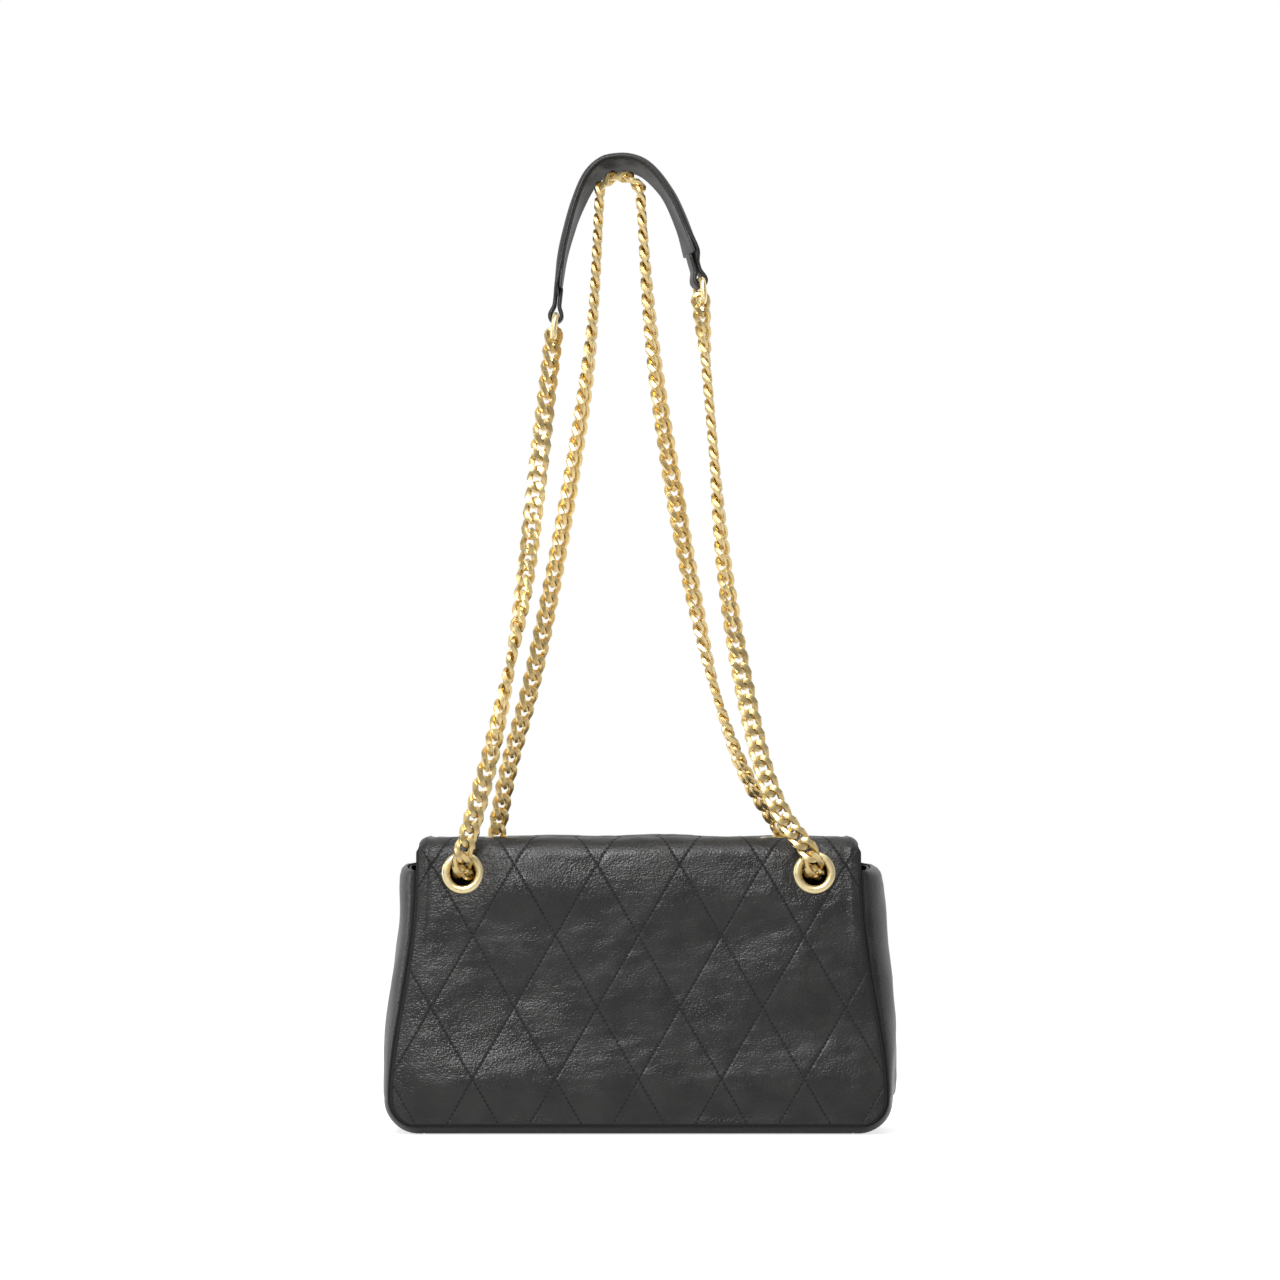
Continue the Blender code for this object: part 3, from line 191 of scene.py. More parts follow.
# Rims of the gussets, which dip towards the back seam and roll in
RIM_DIP, RIM_DEPTH = 0.0034, 0.012
RIM_ROLL, RIM_ROLL_WIDTH = 0.0016, 0.0034
RIM_FACING_DROP = 0.0006
RIM_FREE, RIM_POWER = 0.35, 1.6
GUSSET_DENT_REACH, GUSSET_DENT_RISE = 0.03, 0.0005
GUSSET_DENT_TOP, GUSSET_DENT_LOW, GUSSET_LOW_END = 0.02, 0.03, 0.012
HEM_WIDTH, HEM_RUN, HEM_RISE = 0.0030, 0.0010, 0.00030
HEM_GROOVE, HEM_GROOVE_SPREAD, HEM_GROOVE_DEPTH = 0.0034, 0.0008, 0.00025

# Eyelets, washers and snap
HOLE_RADIUS = 0.0062
EYELET_RADIUS = 0.0103
EYELET_HEIGHT = 0.0020
EYELET_BARREL = 0.0006
EYELET_BACK = (0.0850, 0.1262)
EYELET_TOP = (0.0690, -0.00166)
WASHER_RADIUS = 0.0088
WASHER = 0.0005
WASHER_ROUND = 0.0002
WASHER_DEPTH = 0.0038
BARREL_LIP = 0.0004
BARREL_ROUND = 0.0001
EYELET_UNDERCUT = 0.0006
SNAP_RADIUS = 0.0075
SNAP_RISE = 0.018
SNAP_SHANK = 0.0024
SNAP_CHAMFER = 0.0005
SNAP_STUD, SNAP_STUD_SHANK = 0.0014, 0.0019
SNAP_SOCKET, SNAP_SOCKET_SHANK = 0.0020, 0.0033
SNAP_BOSS = (0.0027, 0.0027)
SNAP_CUP = (0.0033, 0.0007)
SNAP_PLATE, SNAP_PLATE_ROUND = 0.0005, 0.0001

# Chain
LINK_PITCH = 0.00775
LINK_WIDTH = 0.0103
LINK_TWIST = math.radians(50)
LINK_FILED = 0.0043
LINK_BITE = 0.0002
STEP_BACK = 0.0007
ROUTE_SAMPLES = 8
PITCH_TRIES = 8
HOOK_TOP = 0.0012
HOOK_BEND = math.radians(42)
REAR_PATHS = {
    "left": ((-0.0399, -0.1428), (-0.0474, -0.2061), (-0.0596, -0.2693), (-0.0687, -0.3050)),
    "right": ((0.0452, -0.1286), (0.0515, -0.1971), (0.0637, -0.2655), (0.0755, -0.3050)),
}
FRONT_PATHS = {
    "left": ((-0.0144, -0.0814), (-0.0262, -0.1603), (-0.0416, -0.2393), (-0.0541, -0.2866)),
    "right": ((0.0160, -0.0823), (0.0279, -0.1607), (0.0438, -0.2390), (0.0592, -0.2861)),
}
REAR_FACES = {
    "left": ((0, 36), (0.12, 38), (0.25, 6), (0.5, -45), (0.72, -120), (0.9, -160), (1, -170)),
    "right": ((0, 22), (0.12, 85), (0.3, 85), (0.5, 50), (0.7, 12), (0.87, 7), (1, 4)),
}
FRONT_FACES = {
    "left": ((0, 84), (0.05, 88), (0.2, 85), (0.31, 65), (0.5, 50), (0.7, 35), (0.9, 42), (1, 38)),
    "right": ((0, 96), (0.05, 90), (0.2, 70), (0.35, 48), (0.48, 28), (0.64, 50), (0.78, 90),
              (0.92, 124), (1, 120)),
}
KNEE_OUT, KNEE_UP = 0.0093, 0.0072
KNEE_DRIFT = {"left": 0.0, "right": 0.0011}
MOUTH_OUT, MOUTH_UP = 0.0041, 0.0014
INNER_OUT, INNER_UP = -0.0036, -0.0004
HOLE_LINK_RISE = 0.0026
INSIDE_SHARES = ((0.31, 0.54, 0.03), (0.85, 0.81, 0.50))
LEAST_TWIST = -60
RUN_ON_REAR = 2
RUN_ON_FRONT = 1

# Shoulder pad and its rings
PAD_WIDTH = 0.022
PAD_SPAN = 0.0703
PAD_RISE = 0.0784
PAD_LEFT_SHARE = 0.451
PAD_TOP = 0.0078
PAD_LEATHER = 0.0020
PAD_UNDER = 0.0014
PAD_TAB_WIDTH = 0.0090
PAD_TAB_LENGTH = 0.014
PAD_SHOULDER = 0.006
PAD_TAB_SPREAD = 0.0055
PAD_BEARING = 0.004
PAD_CREASE = 0.1
PAD_ARCH = ((0, 0), (0.048, 0.373), (0.104, 0.590), (0.166, 0.758), (0.243, 0.901), (0.333, 0.976),
            (0.430, 1.0), (0.521, 1.0), (0.610, 0.972), (0.694, 0.907), (0.778, 0.808),
            (0.839, 0.702), (0.909, 0.541), (0.964, 0.373), (1, 0.218))
PAD_ROLL_SHARES = (0.0, 0.25, 0.5, 0.75, 1.0)
PAD_ROLLS = (0, 8, 20, 9, 13)
RING_WIRE = 0.0031
RING_WIDTH = 0.0190
RING_HEIGHT = 0.0140
RING_CORNER = 0.0035
RING_SLACK = 0.0014

# Lights, which look at one place: name, place, size, setting of its power and share of it
LIGHT_AIM = (BAG_PLACE[0], 0.0, -0.34)
LIGHTS = (("key_light", (-0.34, -1.10, 0.52), (0.50, 0.35), "key_power", 1.0),
          ("top_light", (0.30, -0.60, 1.00), (0.70, 0.50), "top_power", 1.0),
          ("side_light_left", (-1.1, -0.10, -0.2), (0.25, 0.9), "side_power", 1.0),
          ("side_light_right", (1.15, -0.10, -0.2), (0.25, 0.9), "side_power", 0.20))
FILM_WIDTH = 36.0
FLOOR_GAP = 0.0002

# Marks in the materials, in metres, and their scales per metre
QUILT_CLIMB = math.sqrt(0.75)
STITCH_PULL = 0.00008
THREAD_COLOUR = (0.004, 0.004, 0.004, 1.0)
# Painted shade: near black put into the stitch holes, where shade falls
HOLE_SHADE_COLOUR = (0.0006, 0.0006, 0.0006, 1.0)
PAINT_COLOUR = (0.002, 0.002, 0.002, 1.0)
SCRATCH_DEPTH = 0.000012
CLOTH_THREADS = 0.0009
CLOTH_RISE = 0.00006
BOARD_RISE = 0.0001
FOLD_SCALE, PATCH_SCALE = 420.0, 60.0
HAIR_SCALE, GLOSS_SCALE = 2600.0, 220.0
FIBRE_SCALE = 700.0
THREAD_DULL, STITCH_CALM, CREASE_SHINE = 0.8, 0.8, 0.02

# Values worked out from the sizes above
LEAN = math.atan2(BASE_DEPTH - MOUTH_DEPTH, 2 * (BAG_HEIGHT - FOLD_RADIUS - SEAM_RISE))
FOLD_START = BAG_HEIGHT - FOLD_RADIUS * (1 - math.sin(LEAN))
TOP_START = -MOUTH_DEPTH / 2 + FOLD_RADIUS * math.cos(LEAN)
FLAP_FACE = MOUTH_DEPTH / 2 + FLAP_STANDOFF / math.cos(LEAN)
FOLD_LEVEL = BAG_HEIGHT - FOLD_RADIUS
FLAP_TURN = FLAP_FACE - FOLD_RADIUS * math.cos(LEAN)
FACING_HALF = TOP_HALF - GUSSET_LEATHER - FACING - 2 * GAP
LOW_STRAIGHT = SEAM_RISE + CORNER_RADIUS


# Fields and outlines

def ripples(u, v, reach, seed, waves=24, stretch=1.0):
    """Smooth uneven field of about -1 to 1: the sum of seeded sine waves over (u, v), whose
    lengths lie round a reach; stretch over 1 draws the waves out along u."""
    rng = np.random.default_rng(seed)
    total = 0.0
    for angle, share, phase in zip(rng.uniform(0, 2 * np.pi, waves), rng.uniform(0.6, 1.7, waves),
                                   rng.uniform(0, 2 * np.pi, waves)):
        run = u * math.cos(angle) + v * stretch * math.sin(angle)
        total = total + np.sin(2 * np.pi * run / (reach * share) + phase)
    return total / math.sqrt(waves)


def dented(across, along, table):
    """Sum of the ripples whose reach, seed, stretch and rise a table gives."""
    return sum(ripples(across, along, reach, seed, stretch=stretch) * rise
               for reach, seed, stretch, rise in table)


def ease(share):
    """Smooth step: 3s^2 - 2s^3 of a share held between 0 and 1."""
    share = np.clip(share, 0.0, 1.0)
    return share * share * (3 - 2 * share)


def hill(value, middle, spread):
    """Bell of height 1 over a middle: e to minus the square of the distance in spreads."""
    return np.exp(-((value - middle) / spread) ** 2)


def mound(across, height, x, z, wide, tall):
    """The same over a place on the back, with a spread each way."""
    return np.exp(-((across - x) / wide) ** 2 - ((height - z) / tall) ** 2)


def near_edge(distance, width):
    """1 on an edge, falling by its square to 0 at a width from it."""
    return np.clip(1 - distance / width, 0, 1) ** 2


def oblong(angle, power):
    """Both parts of a place round an oblong: the cosine and the sine, each raised to a power
    with its sign kept. A power below 1 makes it squarer than an oval."""
    return [np.sign(part) * np.abs(part) ** power for part in (np.cos(angle), np.sin(angle))]


def half_depth(height):
    """Half the bag's depth at a height, which shrinks evenly upwards by the walls' lean."""
    return MOUTH_DEPTH / 2 + (FOLD_START - height) * math.tan(LEAN)


def panel_half_width(height):
    """Half the panels' width above the rounded corners, eased from the base's to the top's."""
    share = np.clip((GUSSET_TOP - height) / (GUSSET_TOP - LOW_STRAIGHT), 0, 1)
    return TOP_HALF + (BASE_HALF - TOP_HALF) * ease(share ** SIDE_EASE)


def corner_outline(steps):
    """Half width, height and outward direction round a lower corner: a quarter circle."""
    angle = np.linspace(0, np.pi / 2, steps)
    across, down = np.sin(angle), np.cos(angle)
    centre = BASE_HALF - CORNER_RADIUS
    return np.column_stack([centre + CORNER_RADIUS * across, LOW_STRAIGHT - CORNER_RADIUS * down,
                            across, -down])


def side_outline(top, steps):
    """The same up a side, from above its corner to a height."""
    height = np.linspace(LOW_STRAIGHT, top, steps + 1)[1:]
    return np.column_stack([panel_half_width(height), height, np.ones(steps), np.zeros(steps)])


def quilt_lines(across, along, spacing):
    """Distances to the nearest line of both slanted stitch families, as shares of their spacing.

    The lines climb at 60 degrees, so a family counts 0.5 along +- 0.866 across, in spacings."""
    shares = []
    for side in (-1, 1):
        count = (0.5 * along + side * QUILT_CLIMB * across) / spacing
        shares.append(np.abs(count - np.round(count)))
    return shares


def quilt_relief(across, along, sizes):
    """Outward puff of quilted leather: a soft pillow between the lines, and a groove on them."""
    first, second = quilt_lines(across, along - sizes.quilt_start, sizes.quilt_spacing)
    pillow = (np.sin(np.pi * first) * np.sin(np.pi * second)) ** 0.6
    nearest = np.minimum(first, second) * sizes.quilt_spacing
    groove = hill(nearest, 0.0, sizes.groove_width)
    return sizes.pillow_rise * pillow - sizes.groove_depth * groove


# Meshes

def grid_quads(rows, columns, wrap_columns=False, wrap_rows=False):
    """Quads of a grid of vertices, as an array of rows by columns by four corners."""
    index = np.arange(rows * columns).reshape(rows, columns)
    if wrap_columns:
        index = np.hstack([index, index[:, :1]])
    if wrap_rows:
        index = np.vstack([index, index[:1]])
    return np.stack([index[:-1, :-1], index[:-1, 1:], index[1:, 1:], index[1:, :-1]], axis=-1)


def volume_of(points, faces):
    """Volume that closed faces hold: a sixth of the sum of each triangle's triple product."""
    total = 0.0
    for group in faces:
        first = points[group[:, 0]]
        for corner in range(1, group.shape[1] - 1):
            second, third = points[group[:, corner]], points[group[:, corner + 1]]
            total += np.einsum("ij,ij->i", first, np.cross(second, third)).sum()
    return total / 6


def put_mesh(name, points, faces, sharp=None, **attributes):
    """An object at the origin from arrays of points and faces, with its faces turned outwards."""
    points = np.ascontiguousarray(points, dtype=np.float64).reshape(-1, 3)
    faces = [np.asarray(group, dtype=np.int32) for group in faces if len(group)]
    if volume_of(points - points.mean(0), faces) < 0:
        faces = [group[:, ::-1] for group in faces]
    mesh = bpy.data.meshes.new(name)
    mesh.vertices.add(len(points))
    mesh.vertices.foreach_set("co", points.astype(np.float32).ravel())
    corners = np.concatenate([group.ravel() for group in faces]).astype(np.int32)
    counts = np.concatenate([np.full(len(group), group.shape[1]) for group in faces])
    starts = np.concatenate([[0], np.cumsum(counts)[:-1]]).astype(np.int32)
    mesh.loops.add(len(corners))
    mesh.loops.foreach_set("vertex_index", corners)
    mesh.polygons.add(len(counts))
    mesh.polygons.foreach_set("loop_start", starts)
    mesh.update(calc_edges=True)
    mesh.validate()
    mesh.shade_smooth()
    if sharp is not None:
        mesh.set_sharp_from_angle(angle=math.radians(sharp))
    for key, values in attributes.items():
        values = np.asarray(values, dtype=np.float32)
        kind = "FLOAT_VECTOR" if values.ndim == 2 else "FLOAT"
        layer = mesh.attributes.new(key, kind, "POINT")
        layer.data.foreach_set("vector" if values.ndim == 2 else "value", values.ravel())
    piece = bpy.data.objects.new(name, mesh)
    bpy.context.scene.collection.objects.link(piece)
    return piece


def unit(vectors):
    """Vectors cut to length one."""
    return vectors / np.maximum(np.linalg.norm(vectors, axis=-1, keepdims=True), 1e-12)


def normals_of(grid):
    """Unit normals of a grid: the run along its rows crossed with the run down its columns."""
    return unit(np.cross(np.gradient(grid, axis=1), np.gradient(grid, axis=0)))


def wall_faces(index, keep, count):
    """Faces that join both sides of a ply round the cells that are left out of it."""
    walls = []
    i, j = np.nonzero(keep[:, 1:] != keep[:, :-1])
    a, b = index[i, j + 1], index[i + 1, j + 1]
    kept = keep[i, j]
    walls.append((np.where(kept, b, a), np.where(kept, a, b)))
    i, j = np.nonzero(keep[1:] != keep[:-1])
    a, b = index[i + 1, j], index[i + 1, j + 1]
    kept = keep[i, j]
    walls.append((np.where(kept, a, b), np.where(kept, b, a)))
    return np.vstack([np.column_stack([a, b, b + count, a + count]) for a, b in walls])


def ply(name, grid, thickness, lay, side=1.0, keep=None, rim=3, **more):
    """A closed sheet of leather or cloth.

    Its outer face is the grid, its inner face the grid set back along the normals, and its
    edge a half circle between them. Cells left out by keep make holes with plain walls."""
    rows, columns = grid.shape[:2]
    count = rows * columns
    normal = normals_of(grid) * side
    inner = grid - normal * thickness
    index = np.arange(count).reshape(rows, columns)
    quads = grid_quads(rows, columns)
    front = quads.reshape(-1, 4) if keep is None else quads[keep]
    faces = [front, front[:, ::-1] + count]
    if keep is not None:
        faces.append(wall_faces(index, keep, count))
    loop = np.concatenate([index[0], index[1:, -1], index[-1, -2::-1], index[-2:0:-1, 0]])
    outer_edge, inner_edge = grid.reshape(-1, 3)[loop], inner.reshape(-1, 3)[loop]
    tangent = unit(np.roll(outer_edge, -1, 0) - np.roll(outer_edge, 1, 0))
    outward = unit(np.cross(tangent, normal.reshape(-1, 3)[loop])) * side
    middle, half = (outer_edge + inner_edge) / 2, (outer_edge - inner_edge) / 2
    reach = np.linalg.norm(half, axis=1, keepdims=True)
    angles = np.pi * np.arange(1, rim + 1) / (rim + 1)
    rims = [middle + half * math.cos(a) + outward * reach * math.sin(a) for a in angles]
    strips = [loop] + [2 * count + k * len(loop) + np.arange(len(loop)) for k in range(rim)]
    strips.append(loop + count)
    for above, below in zip(strips, strips[1:]):
        after, next_below = np.roll(above, -1), np.roll(below, -1)
        faces.append(np.column_stack([after, above, below, next_below]))
    points = np.vstack([grid.reshape(-1, 3), inner.reshape(-1, 3)] + rims)
    flat = lay.reshape(-1, 3)
    under = flat * (1, 1, 0)
    edge = flat[loop] * (1, 1, 0.5)
    values = {"lay": np.vstack([flat, under] + [edge] * rim)}
    for key, value in more.items():
        value = value.reshape(-1)
        values[key] = np.concatenate([value, value] + [value[loop]] * rim)
    return put_mesh(name, points, faces, 50, **values)


def solid_of_rings(name, rings, sharp=40, closed=False, **attributes):
    """A solid whose skin passes through rings of points: both ends close in a fan of
    triangles round a middle point, or the last ring joins the first."""
    rows, columns = rings.shape[:2]
    points = rings.reshape(-1, 3)
    faces = [grid_quads(rows, columns, True, closed).reshape(-1, 4)]
    if not closed:
        count = rows * columns
        points = np.vstack([points, rings[0].mean(0), rings[-1].mean(0)])
        here = np.arange(columns)
        after = np.roll(here, -1)
        last = (rows - 1) * columns
        faces.append(np.column_stack([np.full(columns, count), after, here]))
        faces.append(np.column_stack([np.full(columns, count + 1), last + here, last + after]))
    return put_mesh(name, points, faces, sharp, **attributes)


def turned_rings(profile, steps, place, axis):
    """Rings of a profile of radius and height turned about an axis through a place."""
    axis = unit(np.asarray(axis, dtype=float))
    aside = unit(np.cross(axis, (0.3, 1.0, 0.2)))
    other = np.cross(axis, aside)
    angle = 2 * np.pi * np.arange(steps) / steps
    circle = np.cos(angle)[:, None] * aside + np.sin(angle)[:, None] * other
    profile = np.asarray(profile, dtype=float)
    return (np.asarray(place) + profile[:, 1, None, None] * axis
            + profile[:, 0, None, None] * circle[None])


def rounded(profile, radius, steps=4):
    """A profile whose corners are rounded: each corner becomes an arc-like Bezier curve that
    starts and ends a radius, or at most half a side, from it."""
    profile = np.asarray(profile, dtype=float)
    made = []
    for before, here, after in zip(np.roll(profile, 1, 0), profile, np.roll(profile, -1, 0)):
        back, on = before - here, after - here
        reach = min(radius, np.linalg.norm(back) / 2.2, np.linalg.norm(on) / 2.2)
        start, end = here + unit(back) * reach, here + unit(on) * reach
        t = np.linspace(0, 1, steps)[:, None]
        made.append((1 - t) ** 2 * start + 2 * t * (1 - t) * here + t ** 2 * end)
    return np.vstack(made)


# Shader nodes

def feed(tree, node, inputs):
    """Set a node's inputs, by name or number, or link those whose value is a socket."""
    for key, value in inputs.items():
        if isinstance(value, bpy.types.NodeSocket):
            tree.links.new(value, node.inputs[key])
        else:
            node.inputs[key].default_value = value
    return node


def put(tree, kind, inputs=None, **settings):
    """A shader node with its settings and inputs."""
    made = tree.nodes.new(kind)
    for key, value in settings.items():
        setattr(made, key, value)
    return feed(tree, made, inputs or {})


def calc(tree, operation, *values, clamp=False):
    """Result of a Math node on numbers or sockets."""
    inputs = dict(enumerate(values))
    return put(tree, "ShaderNodeMath", inputs, operation=operation, use_clamp=clamp).outputs[0]


def blend_colours(tree, share, first, second):
    """Colour between two colours by a share."""
    inputs = {0: share, 6: first, 7: second}
    return put(tree, "ShaderNodeMix", inputs, data_type="RGBA").outputs[2]


def attribute(tree, name, output="Fac"):
    """A mesh attribute as a number, or as a vector."""
    return put(tree, "ShaderNodeAttribute", attribute_name=name).outputs[output]


def object_place(tree):
    """Place on the object, in metres."""
    return put(tree, "ShaderNodeTexCoord").outputs["Object"]


def noise(tree, place, scale, draw=None, **inputs):
    """Noise at a place, which is drawn out along the axes whose factor in draw is below 1."""
    if draw:
        place = put(tree, "ShaderNodeVectorMath", {0: place, 1: draw}, operation="MULTIPLY").outputs[0]
    inputs = {key.title(): value for key, value in inputs.items()}
    return put(tree, "ShaderNodeTexNoise", {"Vector": place, "Scale": scale, **inputs}).outputs["Fac"]


def remap(tree, value, low, high, out_low=0.0, out_high=1.0):
    """A value moved from one span to another, eased and held between the new ends."""
    inputs = {"Value": value, "From Min": low, "From Max": high, "To Min": out_low, "To Max": out_high}
    return put(tree, "ShaderNodeMapRange", inputs, interpolation_type="SMOOTHSTEP").outputs[0]


def new_group(name, inputs, outputs):
    """A shader node group with named sockets; returns its tree and its two end nodes."""
    tree = bpy.data.node_groups.new(name, "ShaderNodeTree")
    for label, kind, default in inputs:
        socket = tree.interface.new_socket(label, in_out="INPUT", socket_type="NodeSocket" + kind)
        if default is not None:
            socket.default_value = default
    for label, kind in outputs:
        tree.interface.new_socket(label, in_out="OUTPUT", socket_type="NodeSocket" + kind)
    return tree, put(tree, "NodeGroupInput"), put(tree, "NodeGroupOutput")


def use_group(tree, group, inputs):
    """Outputs of a group placed in a material."""
    return put(tree, "ShaderNodeGroup", inputs, node_tree=group).outputs


def leather_grain_group():
    """Grain of dressed leather: fine wrinkles drawn out across it with small pebbles, and longer
    soft folds, all stronger where it is creased, and slow changes of gloss and tone."""
    tree, start, end = new_group(
        "leather_grain",
        [("Vector", "Vector", None), ("Pebble", "Float", 0.0008), ("Crease", "Float", 0.4)],
        [("Height", "Float"), ("Gloss", "Float"), ("Tone", "Float")])
    place, pebble, crease = start.outputs[:3]
    scale = calc(tree, "DIVIDE", 1.0, pebble)
    fine = noise(tree, place, scale, (0.5, 1.0, 1.0), detail=2.0, roughness=0.6)
    cells = put(tree, "ShaderNodeTexVoronoi", {
        "Vector": place, "Scale": calc(tree, "MULTIPLY", scale, 0.9), "Randomness": 1.0},
        feature="SMOOTH_F1")
    pebbles = remap(tree, cells.outputs["Distance"], 0.7, 0.1)
    long = noise(tree, place, FOLD_SCALE, (0.14, 1.0, 1.0), detail=2.0, roughness=0.5, distortion=0.5)
    patch = noise(tree, place, PATCH_SCALE, detail=3.0)
    share = calc(tree, "MULTIPLY", crease, remap(tree, patch, 0.38, 0.62, 0.65, 1.0))
    grain = calc(tree, "MULTIPLY_ADD", pebbles, 0.35, fine)
    amount = calc(tree, "MULTIPLY_ADD", share, 0.9, 0.46)
    folds = calc(tree, "MULTIPLY", long, share)
    tone = calc(tree, "MULTIPLY_ADD", fine, 0.4, calc(tree, "MULTIPLY", patch, 0.6))
    feed(tree, end, {"Height": calc(tree, "MULTIPLY_ADD", grain, amount, folds), "Gloss": patch,
                     "Tone": tone})
    return tree


def stitch_row_group():
    """A row of stitches along a line: the thread between its holes, and the groove it pulls.

    Both fall off with the distance from the line; the holes repeat along it."""
    tree, start, end = new_group(
        "stitch_row",
        [("Distance", "Float", 0.0), ("Along", "Float", 0.0), ("Pitch", "Float", 0.0023),
         ("Thread", "Float", 0.00042)],
        [("Height", "Float"), ("Thread", "Float"), ("Hole", "Float")])
    distance, along, pitch, thread = start.outputs[:4]
    phase = calc(tree, "FRACT", calc(tree, "DIVIDE", along, pitch))
    middle = calc(tree, "ABSOLUTE", calc(tree, "SUBTRACT", phase, 0.5))
    share = calc(tree, "DIVIDE", distance, thread)
    on_thread = calc(tree, "MULTIPLY", remap(tree, share, 1.0, 0.5),
                     remap(tree, middle, 0.5, 0.38, 0.6, 1.0))
    hole = calc(tree, "MULTIPLY", remap(tree, share, 1.9, 0.8), remap(tree, middle, 0.26, 0.38))
    groove = remap(tree, share, 0.4, 3.0, -1.0, 0.0)
    height = calc(tree, "ADD", groove, calc(tree, "MULTIPLY", on_thread, 0.8))
    height = calc(tree, "SUBTRACT", height, calc(tree, "MULTIPLY", hole, 0.9))
    feed(tree, end, {"Height": height, "Thread": on_thread, "Hole": hole})
    return tree


def metal_marks_group():
    """Marks of handled plating: hair scratches, a slow change of gloss, and a warmer tone where
    polish and dirt gather."""
    tree, start, end = new_group(
        "metal_marks",
        [("Vector", "Vector", None), ("Scratch", "Float", 0.5)],
        [("Height", "Float"), ("Gloss", "Float"), ("Tarnish", "Float")])
    place, scratch = start.outputs[:2]
    hair = noise(tree, place, HAIR_SCALE, (0.25, 1.0, 0.4), detail=3.0)
    slow = noise(tree, place, GLOSS_SCALE, detail=4.0)
    feed(tree, end, {"Height": calc(tree, "MULTIPLY", hair, scratch), "Gloss": slow,
                     "Tarnish": remap(tree, slow, 0.55, 0.75)})
    return tree


def new_material(name):
    """A material with nodes, its tree and its Principled shader."""
    material = bpy.data.materials.new(name)
    material.use_nodes = True
    tree = material.node_tree
    return material, tree, tree.nodes["Principled BSDF"]


def bumped(tree, height):
    """Normal of a surface raised by a height in metres."""
    bump = put(tree, "ShaderNodeBump", {"Height": height, "Distance": 1.0, "Strength": 1.0})
    return bump.outputs["Normal"]


def tinted(colour, red, green=None, blue=None):
    """A colour with each part multiplied and held to 1."""
    factors = (red, red if green is None else green, red if blue is None else blue)
    return tuple(min(value * factor, 1.0) for value, factor in zip(colour, factors)) + (1.0,)


def quilt_stitches(tree, groups, lay, quilt):
    """Thread, holes and pulled height of the stitch rows along both families of quilt lines.

    The lay's third part is 1 on the outside and 0 on the underside, where no stitch shows."""
    parts = put(tree, "ShaderNodeSeparateXYZ", {0: lay}).outputs
    along = calc(tree, "SUBTRACT", parts[1], quilt.quilt_start)
    threads, holes, pulled = 0.0, 0.0, 0.0
    for side in (-1, 1):
        slant = calc(tree, "MULTIPLY", parts[0], side * QUILT_CLIMB)
        count = calc(tree, "MULTIPLY_ADD", along, 0.5, slant)
        count = calc(tree, "DIVIDE", count, quilt.quilt_spacing)
        off = calc(tree, "ABSOLUTE", calc(tree, "SUBTRACT", count, calc(tree, "ROUND", count)))
        off = calc(tree, "MULTIPLY", off, quilt.quilt_spacing)
        off = calc(tree, "ADD", off, calc(tree, "SUBTRACT", 1.0, parts[2]))
        run = calc(tree, "MULTIPLY", parts[0], -0.5 * side)
        run = calc(tree, "MULTIPLY_ADD", along, QUILT_CLIMB, run)
        row = use_group(tree, groups["stitch_row"], {"Distance": off, "Along": run})
        pulled = calc(tree, "MULTIPLY_ADD", row["Height"], STITCH_PULL, pulled)
        threads = calc(tree, "MAXIMUM", threads, row["Thread"])
        holes = calc(tree, "MAXIMUM", holes, row["Hole"])
    return threads, holes, pulled


def leather_material(name, colour, groups, pebble=0.0008, crease=0.07, rough=(0.33, 0.40),
                     rise=0.00027, quilt=None, paint=0.0):
    """Black dressed leather, duller and darker within the painted distance of a ply's edge. The
    quilted kind has stitch rows along both families of lines, with painted shade in their holes."""
    material, tree, shader = new_material(name)
    lay = attribute(tree, "lay", "Vector")
    creases = attribute(tree, "crease")
    grain = use_group(tree, groups["leather_grain"], {
        "Vector": lay if quilt else object_place(tree), "Pebble": pebble,
        "Crease": calc(tree, "ADD", crease, creases)})
    height = calc(tree, "MULTIPLY", grain["Height"], rise)
    shade = blend_colours(tree, remap(tree, grain["Tone"], 0.35, 0.65), tinted(colour, 0.6),
                          tinted(colour, 1.4))
    gloss = remap(tree, grain["Gloss"], 0.3, 0.7, *rough)
    gloss = calc(tree, "MULTIPLY_ADD", calc(tree, "MINIMUM", creases, 1.0), -CREASE_SHINE, gloss)
    dull = 0.0
    if quilt:
        threads, holes, pulled = quilt_stitches(tree, groups, lay, quilt)
        calm = calc(tree, "MAXIMUM", threads, holes)
        calm = calc(tree, "MULTIPLY_ADD", calm, -STITCH_CALM, 1.0)
        height = calc(tree, "MULTIPLY_ADD", height, calm, pulled)
        shade = blend_colours(tree, threads, shade, THREAD_COLOUR)
        # The stitch holes are painted near black: painted shade in them
        shade = blend_colours(tree, holes, shade, HOLE_SHADE_COLOUR)
        dull = calc(tree, "MAXIMUM", calc(tree, "MULTIPLY", threads, THREAD_DULL), holes)
    if paint:
        painted = remap(tree, attribute(tree, "edge"), paint * 1.25, paint * 0.75)
        shade = blend_colours(tree, painted, shade, PAINT_COLOUR)
        dull = calc(tree, "MAXIMUM", dull, painted)
    if quilt or paint:
        gloss = calc(tree, "MULTIPLY_ADD", dull, 0.5, gloss, clamp=True)
    feed(tree, shader, {"Base Color": shade, "Roughness": gloss, "Normal": bumped(tree, height)})
    return material


